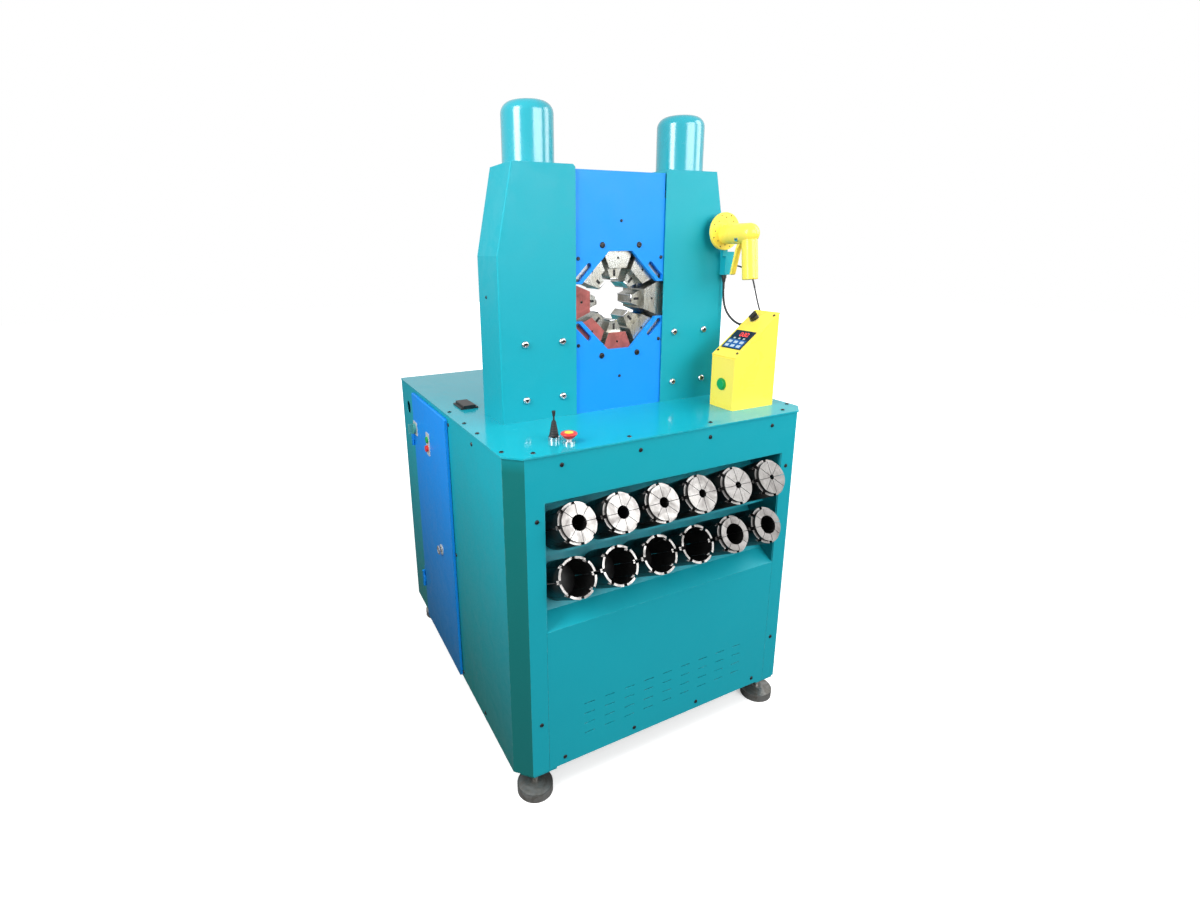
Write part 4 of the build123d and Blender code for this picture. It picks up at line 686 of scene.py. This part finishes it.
class CRIMP_OT_dies(bpy.types.Operator):
    """Finish the eight master dies: a dark screw on each, a near-black patch as painted shade where the jaw's slot
    is, and bright chrome strips as painted highlights along the jaw edges
    """
    bl_idname = "crimp.dies"
    bl_label = "Master dies"

    def execute(self, context):
        for node, degrees in MASTER_DIES.items():
            body, angle = DIE_BODY.get(node, node), radians(degrees)
            dress(node, "die")
            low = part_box(node)[0]
            if node in PRIMED_DIES:
                dress_faces(node, "red die", lambda middle, normal: normal.y < -0.9 and middle.y < low.y + 0.001)
            centre = Vector((SCREW_REACH * cos(angle), low.y + 0.004, CRIMP_Z + SCREW_REACH * sin(angle)))
            mesh = bmesh.new()
            turned(mesh, [(0, -0.004), (0.0032, -0.004), (0.0032, 0), (0.0017, 0), (0.0017, -0.0025), (0, -0.0025)],
                   centre, (0, -1, 0), 20)
            piece(node + "_screw", mesh, body, ["screw"])
            turn = Matrix.Rotation(pi / 2 - angle, 4, "Y")
            turn.translation = Vector((0, 0, CRIMP_Z))
            # Bright chrome strips along the jaw edges are painted highlights; the near-black patch on the jaw face is
            # the painted shade of a slot.
            jaw, slot = bmesh.new(), bmesh.new()
            half = JAW_IN * tan(radians(22.5)) - 0.0125
            for side in (-1, 1):
                slab(jaw, (side * half - 0.0015, JAW_Y[0] + 0.0006, JAW_IN - 0.0008),
                     (side * half + 0.0015, JAW_Y[1] - 0.0006, JAW_IN + 0.003), 0.0004, turn)
            slab(jaw, (-half, JAW_Y[0] - 0.0006, JAW_IN - 0.0006), (half, JAW_Y[0] + 0.004, JAW_IN + 0.0032), 0.0004,
                 turn)
            slab(slot, (-0.0035, JAW_Y[0] - 0.0004, JAW_IN + 0.009), (0.0035, JAW_Y[0] + 0.001, JAW_IN + 0.026),
                 0.0003, turn)
            piece(node + "_jaw_edges", jaw, body, ["chrome"])
            piece(node + "_jaw_slot", slot, body, ["socket"])
        return {"FINISHED"}


class CRIMP_OT_die_sets(bpy.types.Operator):
    """Blacken the stored die sets and set their small springs"""
    bl_idname = "crimp.die_sets"
    bl_label = "Stored die sets"

    def execute(self, context):
        ahead, across = RACK_AHEAD, Vector((1, 0, 0))
        for node, row_z in zip(("die_sets_upper", "die_sets_lower"), SET_ROWS):
            dress(node, "oxide")
            dress_faces(node, "oxide face", lambda middle, normal: normal.dot(ahead) > 0.95)
            mesh = bmesh.new()
            for index in range(6):
                front = Vector(((index - 2.5) * SET_PITCH, SET_FRONT_Y, row_z))
                for step in range(8):
                    angle = radians(22.5 + 45 * step)
                    out = across * cos(angle) + ahead.cross(across) * sin(angle)
                    along = ahead.cross(out)
                    turned(mesh, [(0, -0.0055), (0.0013, -0.0055), (0.0013, 0.0055), (0, 0.0055)],
                           front - ahead * 0.007 + out * 0.0465, along, 8)
            piece(node + "_springs", mesh, "machine", ["chrome"])
        return {"FINISHED"}


LOCK_YZ = (0.064, 0.472)


class CRIMP_OT_door(bpy.types.Operator):
    """Finish the electrical door, its lock, switch and push buttons"""
    bl_idname = "crimp.door"
    bl_label = "Electrical door"

    def execute(self, context):
        dress("electrical_door", "blue")
        dress("door_hinges", "blue")
        dress("door_fittings", "grey plastic")
        dress("door_lock", "chrome")
        dress("main_switch_knob", "knob teal")
        dress("start_button", "green")
        dress("stop_button", "red")
        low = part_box("electrical_door")[0]
        mesh = bmesh.new()
        turned(mesh, [(0.0083, 0), (0.0145, 0), (0.0145, 0.0012), (0.0125, 0.0032), (0.0095, 0.0032),
                      (0.0083, 0.002)], (low.x, *LOCK_YZ), (-1, 0, 0), 36)
        piece("lock_rosette", mesh, "cabinet_door", ["chrome"])
        return {"FINISHED"}


class CRIMP_OT_table_controls(bpy.types.Operator):
    """Make the joystick, the emergency stop and the connector on the worktop"""
    bl_idname = "crimp.table_controls"
    bl_label = "Worktop controls"

    def execute(self, context):
        dress("joystick_base", "chrome")
        dress("joystick_lever", "rubber")
        dress("estop_base", "chrome")
        dress("estop_plunger", "zinc")
        dress("estop_head", "red")
        dress("table_connector", "black plastic")
        low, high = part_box("estop_head")
        top = Vector(((low.x + high.x) / 2, (low.y + high.y) / 2, high.z))
        mesh = bmesh.new()
        turned(mesh, [(0, -0.0004), (0.0105, -0.0004), (0.0105, 0.0003), (0.0095, 0.0006), (0, 0.0006)], top,
               (0, 0, 1), 32)
        piece("estop_label", mesh, "estop_head", ["label yellow"])
        low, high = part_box("joystick_lever")
        foot = Vector(((low.x + high.x) / 2, (low.y + high.y) / 2, low.z + 0.008))
        mesh = bmesh.new()
        folds = [(0.0112 - 0.0066 * step / 12 + (0.0011 if step % 2 else 0), 0.003 * step) for step in range(13)]
        turned(mesh, [(0, 0), *folds, (0, 0.036)], foot, (0, 0, 1), 28)
        piece("joystick_bellows", mesh, "joystick_lever", ["rubber"])
        return {"FINISHED"}


SLOPE_UP, SLOPE_OUT = (0.79616, 0.0, 0.60508), (-0.60508, 0.0, 0.79616)
KEYPAD_ORIGIN = Vector((0.247, -0.370, 1.083))
# Each bar of a digit: x and y of its middle, half width, half height.
SEGMENTS = {"a": (0, 0.0065, 0.0028, 0.0007), "b": (0.0035, 0.0033, 0.0007, 0.0026),
            "c": (0.0035, -0.0033, 0.0007, 0.0026), "d": (0, -0.0065, 0.0028, 0.0007),
            "e": (-0.0035, -0.0033, 0.0007, 0.0026), "f": (-0.0035, 0.0033, 0.0007, 0.0026),
            "g": (0, 0, 0.0028, 0.0007)}


class CRIMP_OT_control_box(bpy.types.Operator):
    """Finish the control box, its panel, button and knob"""
    bl_idname = "crimp.control_box"
    bl_label = "Control box"

    def execute(self, context):
        dress("control_box", "yellow")
        dress("control_lid", "yellow")
        origin, up, away = KEYPAD_ORIGIN, Vector(SLOPE_UP), Vector(SLOPE_OUT)
        dress_faces("control_lid", "screw", lambda middle, normal: (middle - origin).dot(away) > 0.0002)
        dress("control_keypad", "panel dark")
        dress_faces("control_keypad", "key light", lambda middle, normal: (middle - origin).dot(away) > 0.0018
                    and (middle - origin).dot(up) < 0.066)
        dress("button_bezels", "chrome")
        dress_faces("button_bezels", "green", lambda middle, normal: middle.x < 0.30 and middle.z < 1.06)
        place = Matrix((up, Vector((0, -1, 0)), away)).transposed().to_4x4()
        place.translation = origin
        panel, lit, small = bmesh.new(), bmesh.new(), bmesh.new()
        slab(panel, (0.034, -0.035, 0.0015), (0.066, 0.031, 0.00175), 0.00008, place)
        for digit, segments in ((-1, "abcdef"), (0, "abcdeg"), (1, "abcdef")):
            across, along = 0.004 + digit * 0.011, 0.086
            for mark, (x, y, wide, tall) in SEGMENTS.items():
                if mark in segments:
                    slab(lit, (along + y - tall, across + x - wide, 0.00235),
                         (along + y + tall, across + x + wide, 0.0026), 0, place)
        for across in (-0.020, -0.002, 0.016):
            slab(small, (0.068, across - 0.004, 0.0015), (0.073, across + 0.004, 0.0021), 0.0003, place)
        piece("keypad_field", panel, "machine", ["panel blue"])
        piece("display_digits", lit, "machine", ["digits"])
        piece("keypad_small_keys", small, "machine", ["grey plastic"])
        dress("cycle_button", "green")
        dress("selector_knob", "black plastic")
        return {"FINISHED"}


TOOL_X, PIVOT_YZ, DISC_Y, DISC_Z = 0.321, (-0.336, 1.392), -0.2665, 1.414
DISC_RINGS = ((0.037, 0), (0.0445, 22.5))
COVER_SCREW_YZ = (-0.152, 1.255)


class CRIMP_OT_tool(bpy.types.Operator):
    """Finish the quick-change tool and its bracket"""
    bl_idname = "crimp.tool"
    bl_label = "Quick-change tool"

    def execute(self, context):
        for node in ("tool_head", "tool_trigger"):
            dress(node, "yellow")
        dress("tool_bracket", "teal")
        bright, dark = bmesh.new(), bmesh.new()
        for side in (-1, 1):
            face = Vector((TOOL_X + side * 0.0225, *PIVOT_YZ))
            turned(bright, [(0, 0), (0.0068, 0), (0.0068, 0.0015), (0.0060, 0.0022), (0.0034, 0.0022),
                            (0.0034, 0.0008), (0, 0.0008)], face, (side, 0, 0), 28)
            # Near-black hexagons down in the pivot screws' recesses: painted shade.
            turned(dark, [(0, 0.0009), (0.0032, 0.0009), (0.0032, 0.0012), (0, 0.0012)], face, (side, 0, 0), 6)
        piece("tool_pivot_screws", bright, "tool", ["chrome"])
        piece("tool_pivot_sockets", dark, "tool", ["socket"])
        # Near-black discs at each hole in the disc face: painted shade standing in for the depth of each hole.
        hole_shade = bmesh.new()
        for reach, turn in DISC_RINGS:
            for step in range(8):
                angle = radians(turn + 45 * step)
                turned(hole_shade, [(0, 0), (0.0021, 0), (0.0021, 0.0002), (0, 0.0002)],
                       (TOOL_X + reach * cos(angle), DISC_Y, DISC_Z + reach * sin(angle)), (0, -1, 0), 12)
        piece("tool_disc_holes", hole_shade, "tool", ["socket"])
        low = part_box("left_cover")[0]
        mesh = bmesh.new()
        turned(mesh, button_head(0.0045, 0.002, 0.002), (low.x, *COVER_SCREW_YZ), (-1, 0, 0), 24, socket=0.002)
        piece("left_cover_screw", mesh, "machine", ["screw"])
        return {"FINISHED"}


POWER_ROUTE = [(0.343, -0.246, 1.284), (0.343, -0.246, 1.240), (0.346, -0.252, 1.200), (0.353, -0.270, 1.172),
               (0.362, -0.295, 1.155), (0.362, -0.313, 1.155)]
SENSOR_ROUTE = [(0.363, -0.160, 1.322), (0.384, -0.160, 1.322), (0.404, -0.176, 1.321), (0.412, -0.212, 1.319),
                (0.414, -0.250, 1.312), (0.412, -0.288, 1.288), (0.410, -0.304, 1.252), (0.410, -0.317, 1.218),
                (0.412, -0.328, 1.190), (0.425, -0.342, 1.163), (0.435, -0.346, 1.138), (0.427, -0.348, 1.120),
                (0.407, -0.348, 1.120)]


class CRIMP_OT_cables(bpy.types.Operator):
    """Run the two cables from the head to the control box"""
    bl_idname = "crimp.cables"
    bl_label = "Cables"

    def execute(self, context):
        dress("cable_glands", "black plastic")
        wide = settings().cables
        sleeves = bmesh.new()
        for route, diameter in ((POWER_ROUTE, wide.power), (SENSOR_ROUTE, wide.sensor)):
            for start, onward in ((route[0], route[1]), (route[-1], route[-2])):
                away = (Vector(onward) - Vector(start)).normalized()
                turned(sleeves, [(diameter * 0.49, 0), (diameter * 0.85, 0), (diameter * 0.72, wide.relief * 0.7),
                                 (diameter * 0.56, wide.relief), (diameter * 0.49, wide.relief)],
                       Vector(start), away, 20)
        piece("cable_sleeves", sleeves, "machine", ["rubber"])
        for name, route, diameter, node, real in (
                ("power_lead", POWER_ROUTE, wide.power, "power_cable", 0.166),
                ("sensor_lead", SENSOR_ROUTE, wide.sensor, "sensor_cable", 0.36)):
            data = bpy.data.curves.new(name, "CURVE")
            data.dimensions = "3D"
            data.bevel_depth = diameter / 2
            data.bevel_resolution = 5
            data.resolution_u = 16
            data.use_fill_caps = True
            spline = data.splines.new("NURBS")
            spline.points.add(len(route) - 1)
            for point, place in zip(spline.points, route):
                point.co = (*place, 1)
            spline.order_u = 3
            spline.use_endpoint_u = True
            data.materials.append(materials["rubber"])
            lead = bpy.data.objects.new(name, data)
            context.scene.collection.objects.link(lead)
            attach(lead, "machine")
            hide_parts(node)
        return {"FINISHED"}


FLOOR_REACH = 14.0
EYE, YAW, PITCH, ROLL = (-0.89609, -1.64151, 1.37639), 0.46903, 0.26759, -0.01183
LENS, SENSOR, SHIFT, FAR = 18.262, 36.0, (0.03178, -0.03003), 60
LAMPS = (
    # name, place, target, width and height
    ("key", (-1.75, -0.75, 2.00), (-0.25, -0.10, 1.25), (0.75, 1.4)),
    ("fill", (1.45, -0.85, 1.95), (0.25, -0.15, 1.20), (0.7, 1.3)),
    ("front", (0.9, -3.0, 2.2), (0, -0.3, 0.8), (2.2, 1.6)))


def seen_directly(tree):
    """The light path, and a mask of the rays that show white: camera and transmission rays."""
    ray = shader(tree, "LightPath")
    return ray, maths(tree, "MAXIMUM", ray.outputs["Is Camera Ray"], ray.outputs["Is Transmission Ray"])


def floor_paper(stage):
    """White paper that keeps its shadow near the machine."""
    paper = bpy.data.materials.new("floor paper")
    paper.use_nodes = True
    tree = paper.node_tree
    tree.nodes.clear()
    seen = seen_directly(tree)[1]
    tone = mix(tree, seen, (*tinted(stage.floor, stage.shade), 1), (*stage.floor, 1))
    matt = shader(tree, "BsdfDiffuse", {"Color": tone})
    away = shader(tree, "VectorMath", operation="LENGTH")
    tree.links.new(shader(tree, "NewGeometry").outputs["Position"], away.inputs[0])
    whiten = ramp(tree, away.outputs["Value"], 1.2, 3.0, 0.40, 1.0)
    lift = shader(tree, "Emission", {"Color": (1, 1, 1, 1), "Strength": maths(tree, "MULTIPLY", seen, whiten)})
    both = shader(tree, "AddShader")
    tree.links.new(matt.outputs[0], both.inputs[0])
    tree.links.new(lift.outputs[0], both.inputs[1])
    out = tree.nodes.new("ShaderNodeOutputMaterial")
    tree.links.new(both.outputs[0], out.inputs["Surface"])
    return paper


def studio_world(stage):
    """Even light from above, a mirrored sky for shiny faces, white behind the machine."""
    world = bpy.data.worlds.new("studio")
    world.use_nodes = True
    tree = world.node_tree
    tree.nodes.clear()
    ray, seen = seen_directly(tree)
    height = shader(tree, "SeparateXYZ", {"Vector": shader(tree, "TexCoord").outputs["Generated"]})
    even = ramp(tree, height.outputs["Z"], -0.1, 0.9, 0.45 * stage.sky, 1.25 * stage.sky)
    glossy = ray.outputs["Is Glossy Ray"]
    cast = maths(tree, "ADD", maths(tree, "MULTIPLY", even, maths(tree, "SUBTRACT", 1.0, glossy)),
                 maths(tree, "MULTIPLY", glossy, stage.mirror))
    strength = maths(tree, "ADD", maths(tree, "MULTIPLY", cast, maths(tree, "SUBTRACT", 1.0, seen)), seen)
    light = shader(tree, "Background", {"Color": (1, 1, 1, 1), "Strength": strength})
    out = tree.nodes.new("ShaderNodeOutputWorld")
    tree.links.new(light.outputs[0], out.inputs["Surface"])
    return world


def place_camera(scene):
    ahead = Vector((sin(YAW) * cos(PITCH), cos(YAW) * cos(PITCH), -sin(PITCH)))
    level = Vector((cos(YAW), -sin(YAW), 0))
    above = level.cross(ahead)
    right = level * cos(ROLL) + above * sin(ROLL)
    up = -level * sin(ROLL) + above * cos(ROLL)
    lens = bpy.data.cameras.new("camera")
    lens.lens, lens.sensor_width = LENS, SENSOR
    lens.shift_x, lens.shift_y = SHIFT
    lens.clip_end = FAR
    camera = bpy.data.objects.new("camera", lens)
    turn = Matrix((right, up, -ahead)).transposed().to_4x4()
    camera.matrix_world = Matrix.Translation(EYE) @ turn
    scene.collection.objects.link(camera)
    scene.camera = camera


class CRIMP_OT_stage(bpy.types.Operator):
    """Set the floor, the soft studio light and the camera"""
    bl_idname = "crimp.stage"
    bl_label = "Studio"

    def execute(self, context):
        stage = settings().stage
        scene = context.scene
        ground = bpy.data.meshes.new("floor")
        reach = FLOOR_REACH
        ground.from_pydata([(-reach, -reach, 0), (reach, -reach, 0), (reach, reach, 0), (-reach, reach, 0)], [],
                           [(0, 1, 2, 3)])
        floor = bpy.data.objects.new("floor", ground)
        scene.collection.objects.link(floor)
        ground.materials.append(floor_paper(stage))
        scene.world = studio_world(stage)
        for name, place, target, size in LAMPS:
            lamp = bpy.data.lights.new(name, "AREA")
            lamp.shape = "RECTANGLE"
            lamp.energy, lamp.size, lamp.size_y = getattr(stage, name), size[0], size[1]
            made = bpy.data.objects.new(name, lamp)
            made.location = place
            made.rotation_euler = (Vector(place) - Vector(target)).to_track_quat("Z", "Y").to_euler()
            scene.collection.objects.link(made)
        place_camera(scene)
        scene.view_settings.view_transform = "Standard"
        return {"FINISHED"}


STEPS = (CRIMP_OT_groups, CRIMP_OT_stage, CRIMP_OT_cables, CRIMP_OT_cabinet, CRIMP_OT_panel_screws, CRIMP_OT_head,
         CRIMP_OT_head_screws, CRIMP_OT_dies, CRIMP_OT_die_sets, CRIMP_OT_door, CRIMP_OT_table_controls,
         CRIMP_OT_control_box, CRIMP_OT_tool)


class MachineSettings(bpy.types.PropertyGroup):
    paint: PointerProperty(name="Paint", description="Paint of the machine", type=PaintSettings)
    steel: PointerProperty(name="Steel", description="Bare and blackened steel", type=SteelSettings)
    cables: PointerProperty(name="Cables", description="The two free cables", type=CableSettings)
    stage: PointerProperty(name="Studio", description="Floor and light", type=StageSettings)


class CRIMP_PT_panel(bpy.types.Panel):
    """The machine's settings and steps"""
    bl_idname = "CRIMP_PT_panel"
    bl_label = "Crimping machine"
    bl_space_type = "VIEW_3D"
    bl_region_type = "UI"
    bl_category = "Crimping machine"

    def draw(self, context):
        for title, values in (("Paint", settings().paint), ("Steel", settings().steel),
                              ("Cables", settings().cables), ("Studio", settings().stage)):
            box = self.layout.box()
            box.label(text=title)
            for name in values.__annotations__:
                box.prop(values, name)
        for step in STEPS:
            self.layout.operator(step.bl_idname)


CLASSES = (PaintSettings, SteelSettings, CableSettings, StageSettings, MachineSettings, *STEPS, CRIMP_PT_panel)


def register():
    for cls in CLASSES:
        bpy.utils.register_class(cls)
    bpy.types.Scene.crimping_machine = PointerProperty(type=MachineSettings)


def unregister():
    del bpy.types.Scene.crimping_machine
    for cls in reversed(CLASSES):
        bpy.utils.unregister_class(cls)


def main():
    register()
    for step in STEPS:
        group, name = step.bl_idname.split(".")
        getattr(getattr(bpy.ops, group), name)()


if __name__ == "__main__":
    main()
